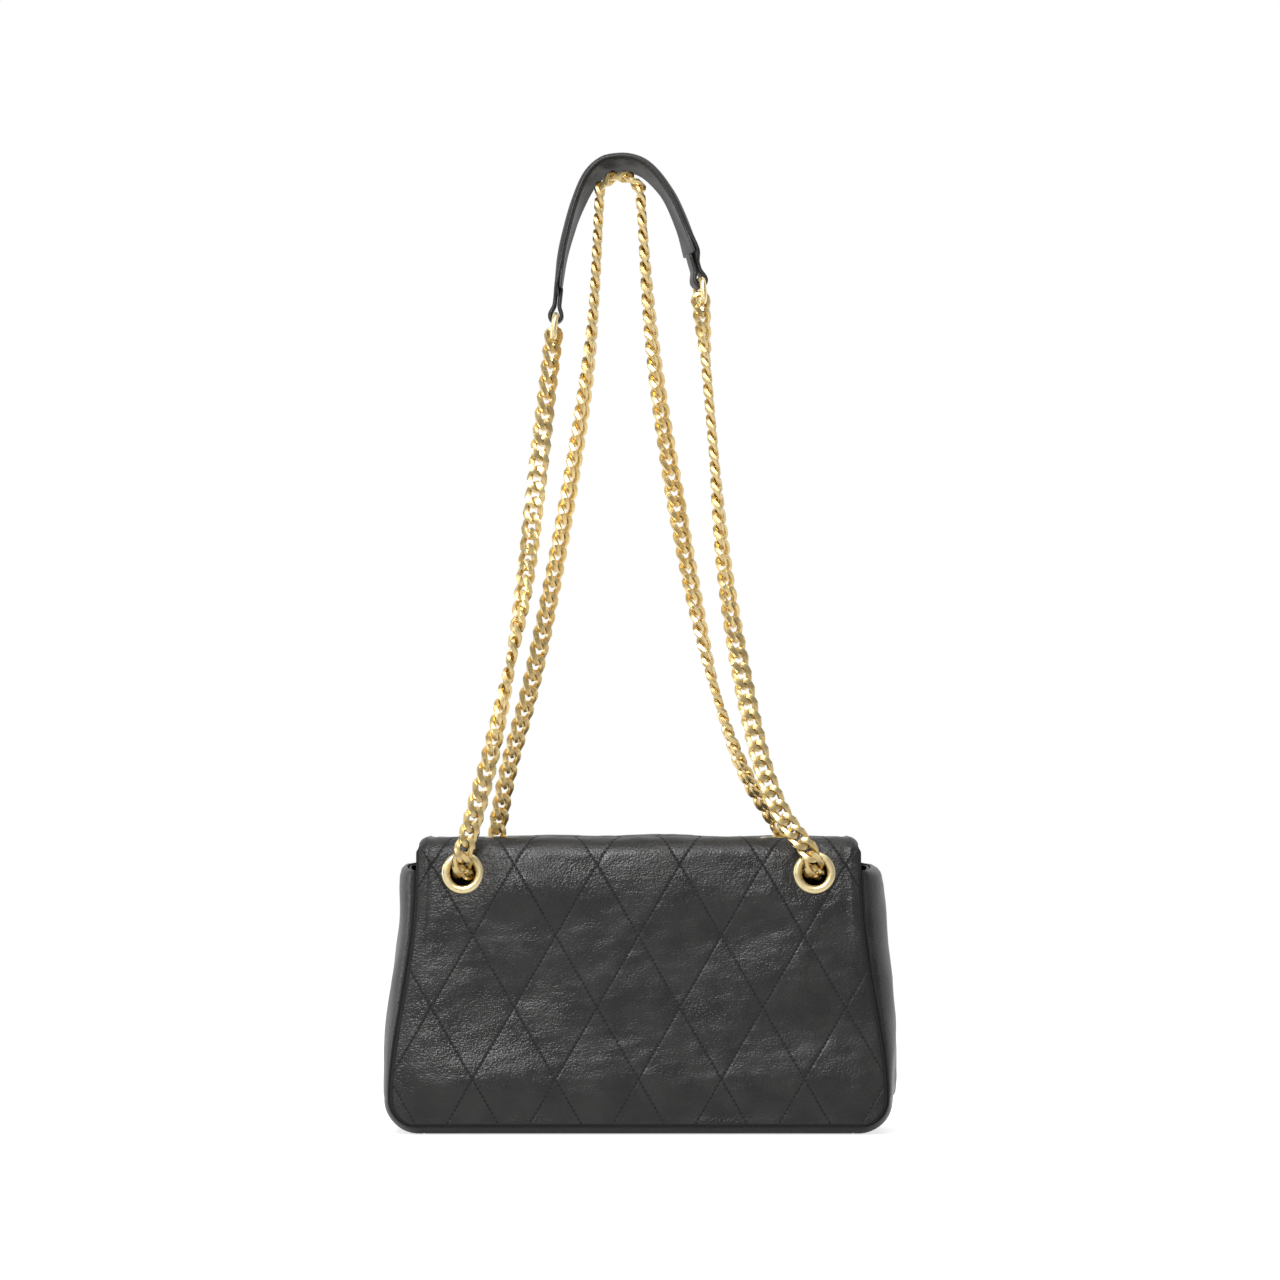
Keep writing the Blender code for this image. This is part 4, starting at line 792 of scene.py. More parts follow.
def metal_material(name, colour, groups, rough=(0.27, 0.37), scratch=0.5, dark=0.35):
    """Polished plating with hair scratches and a warmer tone in places."""
    material, tree, shader = new_material(name)
    marks = use_group(tree, groups["metal_marks"], {"Vector": object_place(tree), "Scratch": scratch})
    share = calc(tree, "MULTIPLY", marks["Tarnish"], dark)
    shade = blend_colours(tree, share, colour, tinted(colour, 0.86, 0.78, 0.62))
    height = calc(tree, "MULTIPLY", marks["Height"], SCRATCH_DEPTH)
    feed(tree, shader, {"Base Color": shade, "Metallic": 1.0, "Normal": bumped(tree, height),
                        "Roughness": remap(tree, marks["Gloss"], 0.35, 0.7, *rough)})
    return material


def cloth_material(name, colour):
    """Lining cloth: two crossed threads, one up where the other is down, along the lay."""
    material, tree, shader = new_material(name)
    lay = attribute(tree, "lay", "Vector")
    parts = put(tree, "ShaderNodeSeparateXYZ", {0: lay}).outputs
    waves = [calc(tree, "SINE", calc(tree, "MULTIPLY", parts[axis], 2 * math.pi / CLOTH_THREADS))
             for axis in (0, 1)]
    weave = calc(tree, "MULTIPLY", waves[0], waves[1])
    height = calc(tree, "MULTIPLY", calc(tree, "ABSOLUTE", weave), CLOTH_RISE)
    slow = noise(tree, lay, PATCH_SCALE, detail=4.0)
    share = calc(tree, "MULTIPLY", slow, remap(tree, weave, -1.0, 1.0, 0.5, 1.0))
    feed(tree, shader, {"Base Color": blend_colours(tree, share, colour, tinted(colour, 1.6)),
                        "Roughness": 0.85, "Sheen Weight": 0.15, "Normal": bumped(tree, height)})
    return material


def board_material(name, colour):
    """Pressed board with short fibres."""
    material, tree, shader = new_material(name)
    fibres = noise(tree, object_place(tree), FIBRE_SCALE, detail=4.0, distortion=1.2)
    height = calc(tree, "MULTIPLY", fibres, BOARD_RISE)
    feed(tree, shader, {"Base Color": blend_colours(tree, fibres, tinted(colour, 0.7), colour),
                        "Roughness": 0.9, "Normal": bumped(tree, height)})
    return material


def dress(piece, material, body, slot, *nodes):
    """Give a piece its material, the nodes it stands for and its body; slot is not used."""
    piece.data.materials.clear()
    piece.data.materials.append(material)
    if nodes:
        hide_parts(*nodes)
    if body:
        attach(piece, body)
    return piece


MATERIALS = {}


def material_of(key):
    """The bag's materials, all made when one is first asked for."""
    if not MATERIALS:
        looks = bpy.context.scene.bag_looks
        black, inside, gold, pale, steel, lining, board = (
            tuple(colour) for colour in (looks.leather, looks.pad_under, looks.gold, looks.pale_gold,
                                         looks.steel, looks.lining, looks.board))
        groups = {"leather_grain": leather_grain_group(), "stitch_row": stitch_row_group(),
                  "metal_marks": metal_marks_group()}
        MATERIALS.update({
            "quilted": leather_material("quilted_black_leather", black, groups,
                                        quilt=bpy.context.scene.bag_sizes, paint=0.0010),
            "plain": leather_material("smooth_black_leather", black, groups, crease=0.2, paint=0.0009),
            "facing": leather_material("facing_leather", black, groups, pebble=0.0007, crease=0.1,
                                       rise=0.00010, rough=(0.45, 0.6)),
            "pad": leather_material("pad_leather", black, groups, pebble=0.0007, crease=0.2,
                                    rise=0.00010, rough=(0.38, 0.5)),
            "pad_under": leather_material("pad_inner_leather", inside, groups, pebble=0.0007,
                                          crease=0.2, rise=0.00008, rough=(0.42, 0.55)),
            "chain": metal_material("gold_chain", gold, groups),
            "fittings": metal_material("gold_fittings", pale, groups, rough=(0.30, 0.42), scratch=0.8,
                                       dark=0.2),
            "steel": metal_material("washer_steel", steel, groups, rough=(0.3, 0.42), scratch=0.8,
                                    dark=0.2),
            "cloth": cloth_material("lining_cloth", lining),
            "board": board_material("base_board_fibre", board),
        })
    return MATERIALS[key]


# Leather shell

def edge_distance(across, along, half_width, low, high):
    """Distance of each place from the nearest side, low edge or high edge of a ply."""
    sides = half_width - np.abs(across)
    return np.minimum(sides, np.minimum(along - low, high - along))


def back_run(step):
    """Middle line of the quilted leather as depth, height and half width, row by row.

    It goes up the back, round the rear fold, along the top strip, round the flap's fold and
    down to the flap's hem, whose corners are quarter circles."""
    side = side_outline(FOLD_START, round((FOLD_START - LOW_STRAIGHT) / step))
    up = np.vstack([corner_outline(12), side])
    angle = np.linspace(LEAN, np.pi / 2, 13)[1:]
    strip = np.linspace(TOP_START, FLAP_TURN, round((FLAP_TURN - TOP_START) / step))[1:]
    down, narrowing = hanging_run(FOLD_LEVEL + FOLD_RADIUS * math.sin(LEAN) - FLAP_HEM,
                                  FLAP_CORNER_RADIUS, step, 18)
    runs = [(-half_depth(up[:, 1]), up[:, 1], up[:, 0]),
            (TOP_START - FOLD_RADIUS * np.cos(angle), FOLD_LEVEL + FOLD_RADIUS * np.sin(angle),
             TOP_HALF),
            (strip, BAG_HEIGHT, TOP_HALF)]
    angle = np.linspace(np.pi / 2, LEAN, 13)[1:]
    fold = FLAP_TURN + FOLD_RADIUS * np.cos(angle), FOLD_LEVEL + FOLD_RADIUS * np.sin(angle)
    runs.append((*fold, TOP_HALF))
    runs.append((fold[0][-1] + down * math.sin(LEAN), fold[1][-1] - down * math.cos(LEAN),
                 TOP_HALF - narrowing))
    return np.vstack([np.column_stack(np.broadcast_arrays(*run)) for run in runs])


def hanging_run(length, corner, step, turn_steps):
    """Places down a hanging flap from its fold to its hem, and how much narrower its half
    width is at each, because its corners are quarter circles."""
    straight = length - corner
    count = round(straight / step)
    turn = np.linspace(0, np.pi / 2, turn_steps)[1:]
    down = np.concatenate([np.linspace(0, straight, count)[1:], straight + corner * np.sin(turn)])
    return down, np.concatenate([np.zeros(count - 1), corner * (1 - np.cos(turn))])


def run_of(points):
    """Length along a line of points up to each of them."""
    steps = np.linalg.norm(np.diff(points, axis=0), axis=1)
    return np.concatenate([[0.0], np.cumsum(steps)])


def leather_grid(rows, columns, margin):
    """Grid of places across a run of rows: x by share of the half width, with the grid pulled in
    by a margin at its sides, and the lay of each place."""
    inner = np.linspace(0, 0.94, columns // 2 - 9)
    share = np.concatenate([inner, np.linspace(0.94, 1, 11)[1:]])
    share = np.concatenate([-share[:0:-1], share])
    half = rows[:, 2:3] - margin
    x = half * share
    y = np.broadcast_to(rows[:, 0:1], x.shape).copy()
    z = np.broadcast_to(rows[:, 1:2], x.shape).copy()
    along = np.broadcast_to(run_of(rows[:, :2])[:, None], x.shape)
    grid = np.stack([x, y, z], axis=-1)
    lay = np.stack([x, along, np.ones_like(x)], axis=-1)
    return grid, lay, half


def eyelet_centres():
    """Places of the four eyelets on the leather's outside, with their outward directions."""
    back = np.array([0.0, -math.cos(LEAN), math.sin(LEAN)])
    spots = {}
    for word, side in SIDES:
        x, z = EYELET_BACK
        spots["back_" + word] = (np.array([side * x, -half_depth(z), z]), back)
        x, y = EYELET_TOP
        low = BAG_HEIGHT - TOP_SAG - EYELET_SINK
        spots["top_" + word] = (np.array([side * x, y, low]), np.array([0.0, 0.0, 1.0]))
    return spots


def sagged(grid):
    """A grid whose places along the top sink between the two folds, less so at the sides."""
    x, y, z = grid[..., 0], grid[..., 1], grid[..., 2]
    dip = ease((y - SAG_START[0]) / (SAG_START[1] - SAG_START[0]))
    dip = dip * ease((SAG_END[1] - y) / (SAG_END[1] - SAG_END[0]))
    sides = 1 - SAG_SIDE_LOSS * ease((np.abs(x) - SAG_SIDE_START) / SAG_SIDE_RUN)
    grid = grid.copy()
    grid[..., 2] = z - TOP_SAG * dip * sides * (z > BAG_HEIGHT - SAG_BAND)
    return grid


def near_eyelets(grid):
    """Distance of each grid place from the nearest eyelet's middle."""
    gaps = [np.linalg.norm(grid - spot, axis=-1) for spot, _ in eyelet_centres().values()]
    return np.min(gaps, axis=0)


def cell_centres(grid):
    """Middles of a grid's cells."""
    return (grid[:-1, :-1] + grid[1:, :-1] + grid[:-1, 1:] + grid[1:, 1:]) / 4


def round_holes(grid, keep, radius):
    """Grid places on the edge of a hole, moved in or out on to its circle."""
    open_cell = ~keep
    touched = np.zeros(grid.shape[:2], dtype=bool)
    closed = np.zeros(grid.shape[:2], dtype=bool)
    for di in (0, 1):
        for dj in (0, 1):
            touched[di:di + keep.shape[0], dj:dj + keep.shape[1]] |= open_cell
            closed[di:di + keep.shape[0], dj:dj + keep.shape[1]] |= keep
    edge = touched & closed
    for spot, out in eyelet_centres().values():
        away = grid - spot
        flat = away - out * (away @ out)[..., None]
        distance = np.linalg.norm(flat, axis=-1)
        close = edge & (distance < 2 * radius) & (np.abs(away @ out) < 2 * radius)
        shift = flat[close] / distance[close][:, None] * (radius - distance[close])[:, None]
        grid[close] += shift
    return grid


def outward_side(grid, away):
    """1 or -1, so that a grid's normals times it look along a direction at its middle."""
    row, column = grid.shape[0] // 2, grid.shape[1] // 2
    return 1.0 if normals_of(grid)[row, column] @ np.asarray(away, dtype=float) > 0 else -1.0


def put_ply(name, grid, thickness, away, look, body, *nodes, lay=None, keep=None, **more):
    """A ply of leather from a grid in the bag's own frame, which looks away, and its dress."""
    lay = lay_of(grid) if lay is None else lay
    piece = ply(name, grid + BAG_PLACE, thickness, lay, outward_side(grid, away), keep, **more)
    return dress(piece, material_of(look), body, "black_leather", *nodes)


def filled_back(out, across, height, edge, on_back):
    """A rise with the filled back's soft domes added and its tuck over the base taken off."""
    for x, z, wide, tall, rise in DOMES:
        out += rise * mound(across, height, x, z, wide, tall) * on_back * ease(edge / DOME_EDGE)
    out -= TUCK * np.clip(1 - height / TUCK_HEIGHT, 0, 1) ** 1.5 * on_back * ease(edge / FREE_EDGE)
    return out


def turned_sides(out, side_edge, edge, height, gap):
    """A rise with the leather's sides turned in towards the top and its other edges rounded.

    The drop falls by its square from the edge; the shoulder is a hill beside it, less a
    wider one further in, and is left out under the eyelets."""
    turned = ease((height - TURN_HEIGHT) / TURN_RUN)
    shoulder = hill(side_edge, SHOULDER_IN, SHOULDER_SPREAD)
    shoulder = shoulder - GROOVE_SHARE * hill(side_edge, GROOVE_IN, GROOVE_SPREAD)
    shoulder = SHOULDER_RISE * shoulder * (gap > SHOULDER_GAP)
    out += (shoulder - TURN_DROP * near_edge(side_edge, TURN_WIDTH)) * turned
    out -= ROUND_DROP * near_edge(edge, ROUND_WIDTH) * (1 - turned)
    return out


def settle_top(grid, across, height, side_edge):
    """Let the top sink, more so towards the sides, and its corners slump down and in."""
    sides = ease((np.abs(across) - SETTLE_SIDE_START) / SETTLE_SIDE_RUN)
    settle = ease((height - SETTLE_HEIGHT) / SETTLE_RUN) * (SETTLE_ALL + SETTLE_SIDES * sides)
    corner = ease((height - SLUMP_HEIGHT) / SLUMP_RUN) * near_edge(side_edge, SLUMP_WIDTH)
    inwards = ease((SLUMP_IN_WIDTH - side_edge) / SLUMP_IN_WIDTH)
    grid[..., 2] -= settle + SLUMP_DROP * corner
    grid[..., 0] -= np.sign(across) * SLUMP_IN * corner * inwards


def make_quilted_leather(sizes):
    """Back, top strip and flap: one continuous quilted leather.

    Outside = the run's grid with its sagged top, moved along its normals by the quilting's
    relief, the filled back's domes and base tuck, slow dents, puckers round the eyelets and
    the turned sides. Quilting and dents fade out at the eyelets and along the edges, and the
    top is settled last."""
    rows = back_run(sizes.leather_step)
    grid, lay, half = leather_grid(rows, sizes.leather_columns, LEATHER / 2)
    grid = sagged(grid)
    away = (0, -1, 1)
    normal = normals_of(grid) * outward_side(grid, away)
    across, along = lay[..., 0], lay[..., 1]
    gap = near_eyelets(grid)
    edge = edge_distance(across, along, half, 0.0, along[-1, 0])
    side_edge = half - np.abs(across)
    free = ease((gap - FREE_GAP) / FREE_RUN) * ease(edge / FREE_EDGE)
    height = grid[..., 2]
    on_back = grid[..., 1] < BACK_LIMIT
    out = quilt_relief(across, along, sizes) * free
    out = filled_back(out, across, height, edge, on_back)
    out += dented(across, along, BACK_DENTS) * free
    pucker = hill(gap, PUCKER_RADIUS, PUCKER_SPREAD)
    waves = pucker * ripples(across, along, PUCKER_REACH, 21, stretch=2.0) * PUCKER_RISE
    out += waves * ease((gap - PUCKER_START) / PUCKER_RUN)
    out = turned_sides(out, side_edge, edge, height, gap)
    grid = grid + normal * out[..., None]
    settle_top(grid, across, height, side_edge)
    keep = near_eyelets(cell_centres(grid)) > sizes.leather_hole
    grid = round_holes(grid, keep, sizes.leather_hole)
    band = hill(height, BAND_HEIGHT, BAND_SPREAD) * on_back
    band = band * (1 - BAND_FADE * ease((across - BAND_FADE_START) / BAND_FADE_RUN))
    worn = mound(across, height, *WORN_PLACE) * on_back
    patches = np.clip(ripples(across, along, PATCH_REACH, 5), 0, 1)
    crease = pucker + band + WORN_CREASE * worn + PATCH_CREASE * patches
    crease = np.clip(crease, 0, MOST_CREASE)
    piece = put_ply("quilted_leather", grid, LEATHER, away, "quilted", None, "back_panel", "flap_leaf",
                    lay=lay, keep=keep, crease=crease, edge=edge)
    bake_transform(piece)


def panel_rows(top, step, inset):
    """Rows of the front panel or of a facing on it: depth, height and half width."""
    up = np.vstack([corner_outline(12), side_outline(top, round((top - LOW_STRAIGHT) / step))])
    return np.column_stack([half_depth(up[:, 1]) - inset / math.cos(LEAN), up[:, 1], up[:, 0]])


def make_front_leather(sizes):
    """Front panel under the flap, quilted like the back, a little puffed and flat at the snap."""
    grid, lay, half = leather_grid(panel_rows(FRONT_TOP, sizes.leather_step, 0.0),
                                   sizes.leather_columns, LEATHER / 2)
    across, along = lay[..., 0], lay[..., 1]
    edge = edge_distance(across, along, half, 0.0, along[-1, 0])
    free = ease(edge / FREE_EDGE)
    snap = np.hypot(across, grid[..., 2] - FLAP_HEM - SNAP_RISE)
    snap = ease((snap - SNAP_FLAT) / SNAP_FLAT_RUN)
    height, spread, rise = FRONT_PUFF
    out = (quilt_relief(across, along, sizes) + dented(across, along, FRONT_DENTS)) * free
    grid[..., 1] += out * snap * FRONT_SHARE + rise * hill(grid[..., 2], height, spread) * free
    crease = np.clip(ripples(across, along, PATCH_REACH, 15), 0, 1) * 0.5
    put_ply("front_leather", grid, LEATHER, (0, 1, 0), "quilted", "bag", "front_panel", lay=lay,
            crease=crease, edge=edge)


def strip_grid(outline, inset, side, columns):
    """Grid of a gusset or base strip, which bulges outwards between its two seams.

    Across the depth it follows a half ellipse of the row's bulge, with a flat middle: the
    share is flat + (1 - flat) sin and the rise is bulge cos of an angle."""
    angle = np.linspace(-np.pi / 2, np.pi / 2, columns)
    rows = []
    for half_width, height, out_x, out_z, bulge, flat in outline:
        reach = half_depth(max(height, SEAM_RISE)) - LEATHER - GAP
        share = np.sign(angle) * flat * (np.abs(angle) > 1e-9) + (1 - flat) * np.sin(angle)
        out = bulge * np.cos(angle) - inset
        rows.append(np.column_stack([side * (half_width + out * out_x), reach * share,
                                     height + out * out_z]))
    return np.array(rows)


def side_fill(side, height):
    """How much further a filled side gusset bulges at a height; the right one is fuller."""
    return np.interp(height, FILL_HEIGHTS, FILL_RIGHT if side > 0 else FILL_LEFT)


def side_bulge(side, height):
    """A side gusset's whole bulge at a height."""
    rise = (height - SEAM_RISE) / (GUSSET_TOP - SEAM_RISE)
    return GUSSET_LOW_BULGE + (GUSSET_TOP_BULGE - GUSSET_LOW_BULGE) * rise + side_fill(side, height)


def gusset_outline(side, corner_steps, side_steps):
    """Rows of a gusset from its lower end past the corner up to the mouth."""
    start = BASE_HALF - CORNER_RADIUS
    outline = [(start - GUSSET_RUN_ON * share, SEAM_RISE, 0.0, -1.0, SEAM_RISE, BASE_FLAT)
               for share in (1.0, 0.5)]
    for half_width, height, out_x, out_z in corner_outline(corner_steps):
        turn = math.asin(min(out_x, 1.0)) / (math.pi / 2)
        bulge = SEAM_RISE + (GUSSET_LOW_BULGE - SEAM_RISE) * turn
        outline.append((half_width, height, out_x, out_z, bulge,
                        BASE_FLAT + (GUSSET_FLAT - BASE_FLAT) * turn))
    for half_width, height, out_x, out_z in side_outline(GUSSET_TOP, side_steps):
        outline.append((half_width, height, out_x, out_z, side_bulge(side, height), GUSSET_FLAT))
    return outline


def lay_of(grid):
    """Lay of a grid: the run along each row from its middle, and the run down the middle column."""
    middle = grid.shape[1] // 2
    steps = np.linalg.norm(np.diff(grid, axis=1), axis=-1)
    across = np.concatenate([np.zeros((len(grid), 1)), np.cumsum(steps, axis=1)], axis=1)
    across -= across[:, middle:middle + 1]
    along = np.broadcast_to(run_of(grid[:, middle])[:, None], across.shape)
    return np.stack([across, along, np.ones_like(across)], axis=-1)


def seam_share(grid):
    """Share of each place from a gusset's back seam, -1, to its front seam, 1."""
    return grid[..., 1] / np.abs(grid[..., 1]).max(1, keepdims=True)


def shape_rim(grid, side, hem, extra=0.0):
    """Let a gusset's top edge dip, the more the nearer its back seam, and roll in between the
    seams; hem is the distance from the edge."""
    seam = seam_share(grid)
    dip = RIM_DIP * np.clip((RIM_FREE - seam) / (1 + RIM_FREE), 0, 1) ** RIM_POWER + extra
    grid[..., 2] -= dip * ease(1 - hem / RIM_DEPTH)
    grid[..., 0] -= side * RIM_ROLL * (1 - seam ** 4) * near_edge(hem, RIM_ROLL_WIDTH)


def make_gusset(word, side):
    """Side gusset: the strip's bulge, with soft dents, a turned hem with a groove under it, and
    a rim that dips towards the back seam and rolls in."""
    grid = strip_grid(gusset_outline(side, 12, 70), 0.0, side, 41)
    lay = lay_of(grid)
    across, along = lay[..., 0], lay[..., 1]
    hem = along[-1, 0] - along
    dents = ripples(across, along, GUSSET_DENT_REACH, 31 + side, stretch=0.8) * GUSSET_DENT_RISE
    out = dents * ease(hem / GUSSET_DENT_TOP) * ease(along / GUSSET_DENT_LOW)
    groove = hill(hem, HEM_GROOVE, HEM_GROOVE_SPREAD) * HEM_GROOVE_DEPTH
    out += ease((HEM_WIDTH - hem) / HEM_RUN) * HEM_RISE - groove
    grid[..., 0] += side * out * (1 - seam_share(grid) ** 4) * (along > GUSSET_LOW_END)
    shape_rim(grid, side, hem)
    crease = np.clip(ripples(across, along, GUSSET_DENT_REACH, 41 + side), 0, 1) * 0.5
    from_seam = np.minimum(across - across[:, :1], across[:, -1:] - across)
    put_ply("gusset_leather_" + word, grid, GUSSET_LEATHER, (side, 0, 0), "plain", "bag",
            "gusset_" + word, lay=lay, crease=crease, edge=from_seam)


def make_gusset_facing(word, side):
    """Facing inside the top of a gusset, held clear of the panels' facings."""
    heights = np.linspace(GUSSET_TOP - FACING_DROP, GUSSET_TOP, 14)
    outline = [(panel_half_width(z), z, 1.0, 0.0, bulge, GUSSET_FLAT)
               for z, bulge in zip(heights, side_bulge(side, heights))]
    grid = strip_grid(outline, GUSSET_LEATHER + GAP, side, 31)
    clear = half_depth(heights) - WASHER_DEPTH - FACING
    grid[..., 1] *= (clear / np.abs(grid[..., 1]).max(1))[:, None]
    shape_rim(grid, side, (GUSSET_TOP - heights)[:, None], RIM_FACING_DROP)
    put_ply("gusset_facing_leather_" + word, grid, FACING, (side, 0, 0), "facing", "bag",
            "gusset_facing_" + word)


def make_base_leather():
    """Base between the gussets' lower ends, flat where it rests and rounded up to its seams."""
    half = BASE_HALF - CORNER_RADIUS - GUSSET_RUN_ON - GAP - GUSSET_LEATHER / 2
    row = strip_grid([(0.0, SEAM_RISE, 0.0, -1.0, SEAM_RISE, BASE_FLAT)], 0.0, 1, 41)[0]
    x = np.linspace(-half, half, 120)[:, None]
    grid = np.stack(np.broadcast_arrays(x, row[:, 1], row[:, 2]), axis=-1)
    lay = lay_of(grid)
    put_ply("base_leather", grid, GUSSET_LEATHER, (0, 0, -1), "plain", "bag", "base_panel", lay=lay,
            edge=lay[:, -1:, 0] - np.abs(lay[..., 0]))


def make_facings():
    """Leather facings inside the mouth: behind the upper back and top strip, and in front."""
    inset = LEATHER + GAP
    radius = FOLD_RADIUS - inset
    low = GUSSET_TOP - FACING_DROP
    heights = np.linspace(low, FOLD_START, 18)
    angle = np.linspace(LEAN, np.pi / 2, 11)[1:]
    strip = np.linspace(TOP_START, HINGE_SETBACK - GAP, 20)[1:]
    depth = np.concatenate([-(half_depth(heights) - inset / math.cos(LEAN)),
                            TOP_START - radius * np.cos(angle), strip])
    height = np.concatenate([heights, FOLD_LEVEL + radius * np.sin(angle),
                             np.full(len(strip), BAG_HEIGHT - inset)])
    rows = np.column_stack([depth, height, np.full(len(depth), FACING_HALF)])
    grid, lay, _ = leather_grid(rows, 150, FACING / 2)
    keep = near_eyelets(cell_centres(grid)) > FACING_HOLE
    put_ply("top_facing_leather", sagged(grid), FACING, (0, -1, 0.5), "facing", "bag", "top_facing",
            lay=lay, keep=keep)
    heights = np.linspace(low, FRONT_TOP, 18)
    rows = np.column_stack([half_depth(heights) - inset / math.cos(LEAN), heights,
                            np.full(18, FACING_HALF)])
    grid, lay, _ = leather_grid(rows, 100, FACING / 2)
    put_ply("front_facing_leather", grid, FACING, (0, 1, 0), "facing", "bag", "front_facing", lay=lay)


def make_flap_lining():
    """Smooth leather under the flap, a ply's gap inside it and a margin within its edges."""
    inset = LEATHER + FLAP_PLY_GAP
    radius = FOLD_RADIUS - inset
    strip = np.linspace(HINGE_SETBACK + LEATHER, FLAP_TURN, 10)
    angle = np.linspace(np.pi / 2, LEAN, 13)[1:]
    depth = np.concatenate([strip, FLAP_TURN + radius * np.cos(angle)])
    height = np.concatenate([np.full(10, BAG_HEIGHT - inset), FOLD_LEVEL + radius * np.sin(angle)])
    length = height[-1] - FLAP_HEM - FLAP_LINING_MARGIN
    corner = FLAP_CORNER_RADIUS - FLAP_LINING_MARGIN
    down, narrowing = hanging_run(length, corner, (length - corner) / 40, 14)
    depth = np.concatenate([depth, depth[-1] + down * math.sin(LEAN)])
    height = np.concatenate([height, height[-1] - down * math.cos(LEAN)])
    width = TOP_HALF - FLAP_LINING_MARGIN - np.concatenate([np.zeros(22), narrowing])
    grid, lay, _ = leather_grid(np.column_stack([depth, height, width]), 110, LINING / 2)
    put_ply("flap_lining_leather", sagged(grid), LINING, (0, 1, 0), "facing", "flap", "flap_lining",
            lay=lay)


def make_lining_bag():
    """Cloth lining, an open cup: a rounded-box outline that grows up from the base, with its
    inner face set in by the cloth, and soft drapes in its walls."""
    angle = 2 * np.pi * (np.arange(160) + 0.5) / 160
    cos_side, sin_side = oblong(angle, LINING_POWER)
    inset = GUSSET_LEATHER + LINING_SIDE_ROOM
    turn = np.linspace(0, np.pi / 2, 8)
    radius = CORNER_RADIUS - inset
    straight = np.linspace(LOW_STRAIGHT, LINING_TOP, 26)[1:]
    heights = np.concatenate([LOW_STRAIGHT - radius * np.cos(turn), straight])[:, None]
    wide = np.concatenate([BASE_HALF - CORNER_RADIUS + radius * np.sin(turn),
                           panel_half_width(straight) - inset])[:, None]
    reach = half_depth(heights) - (LEATHER + LINING_WALL_ROOM) / math.cos(LEAN)
    outer, inner = (np.stack(np.broadcast_arrays((wide - inward) * cos_side,
                                                 (reach - inward) * sin_side, heights), axis=-1)
                    for inward in (0.0, LINING))
    drape = ripples(angle * 0.06, 0.0, 0.05, 51)[None, :, None] * LINING_DRAPE
    inner[..., :2] *= 1 - np.abs(drape) * np.linspace(0.2, 1, len(heights))[:, None, None]
    inner[: len(turn), :, 2] += LINING * np.cos(turn)[:, None]
    floor_shares = np.array([0.02, 0.35, 0.7])[:, None, None]
    outer_floor, inner_floor = (walls[0] * floor_shares * (1, 1, 0) + walls[0] * (0, 0, 1)
                                for walls in (outer, inner))
    rings = np.concatenate([outer_floor, outer, inner[::-1], inner_floor[::-1]])
    around = np.broadcast_to(angle * 0.1, rings.shape[:2])
    along = np.broadcast_to(np.arange(len(rings))[:, None] * 0.004, rings.shape[:2])
    lay = np.stack([around, along, np.ones_like(around)], axis=-1).reshape(-1, 3)
    lay = np.vstack([lay, lay[:1], lay[-1:]])
    piece = solid_of_rings("lining_bag", rings + BAG_PLACE, 60, lay=lay)
    dress(piece, material_of("cloth"), "bag", "lining_fabric", "lining")


# Fittings

def ring_profile(inner, outer, low, high):
    """Closed profile of a flat ring."""
    return [(outer, high), (outer, low), (inner, low), (inner, high)]


def make_eyelets():
    """Four eyelets with a half-round face and a barrel, and their washers inside."""
    middle = (HOLE_RADIUS + EYELET_RADIUS) / 2
    half = (EYELET_RADIUS - HOLE_RADIUS) / 2
    barrel = HOLE_RADIUS + EYELET_BARREL
    depth = WASHER_DEPTH + WASHER + BARREL_LIP
    turn = np.linspace(0, np.pi, 15)[:-1]
    face = np.column_stack([middle + half * np.cos(turn),
                            GAP + (EYELET_HEIGHT - GAP) * np.sin(turn) ** 0.8])
    behind = [(HOLE_RADIUS, GAP * 0.9), (HOLE_RADIUS, -depth),
              (HOLE_RADIUS + 2 * BARREL_ROUND, -depth - BARREL_ROUND),
              (barrel, -depth + BARREL_ROUND), (barrel, GAP * 0.6),
              (EYELET_RADIUS - EYELET_UNDERCUT, GAP * 0.5)]
    profile = np.vstack([face, behind])
    washer = rounded(ring_profile(barrel + GAP, WASHER_RADIUS, 0.0, WASHER), WASHER_ROUND)
    for word, (spot, out) in eyelet_centres().items():
        rings = turned_rings(profile, 72, spot + BAG_PLACE, out)
        piece = solid_of_rings("eyelet_ring_" + word, rings, 50, closed=True)
        dress(piece, material_of("fittings"), "bag", "gold_metal", "eyelet_" + word)
        rings = turned_rings(washer, 48, spot + BAG_PLACE - out * (WASHER_DEPTH + WASHER), out)
        piece = solid_of_rings("eyelet_backing_" + word, rings, 50, closed=True)
        dress(piece, material_of("steel"), "bag", "steel_washer", "eyelet_washer_" + word)


def snap_place():
    """Place and outward direction of the snap's stud on the flap lining's inner face."""
    inset = LEATHER + FLAP_PLY_GAP + LINING
    height = FLAP_HEM + SNAP_RISE
    end = FOLD_LEVEL + FOLD_RADIUS * math.sin(LEAN)
    depth = FLAP_FACE + (end - height) * math.tan(LEAN) - inset / math.cos(LEAN)
    return np.array([0.0, depth, height]), np.array([0.0, math.cos(LEAN), math.sin(LEAN)])


def snap_profile(middle, middle_height, thick, shank):
    """Profile of half a snap: the radius and height of its middle, its chamfered disc's
    thickness and its shank's length."""
    edge = SNAP_RADIUS - SNAP_CHAMFER
    return [(middle, middle_height), (middle, thick), (edge, thick),
            (SNAP_RADIUS, thick - SNAP_CHAMFER), (SNAP_RADIUS, 0.0), (SNAP_SHANK, 0.0),
            (SNAP_SHANK, -shank)]


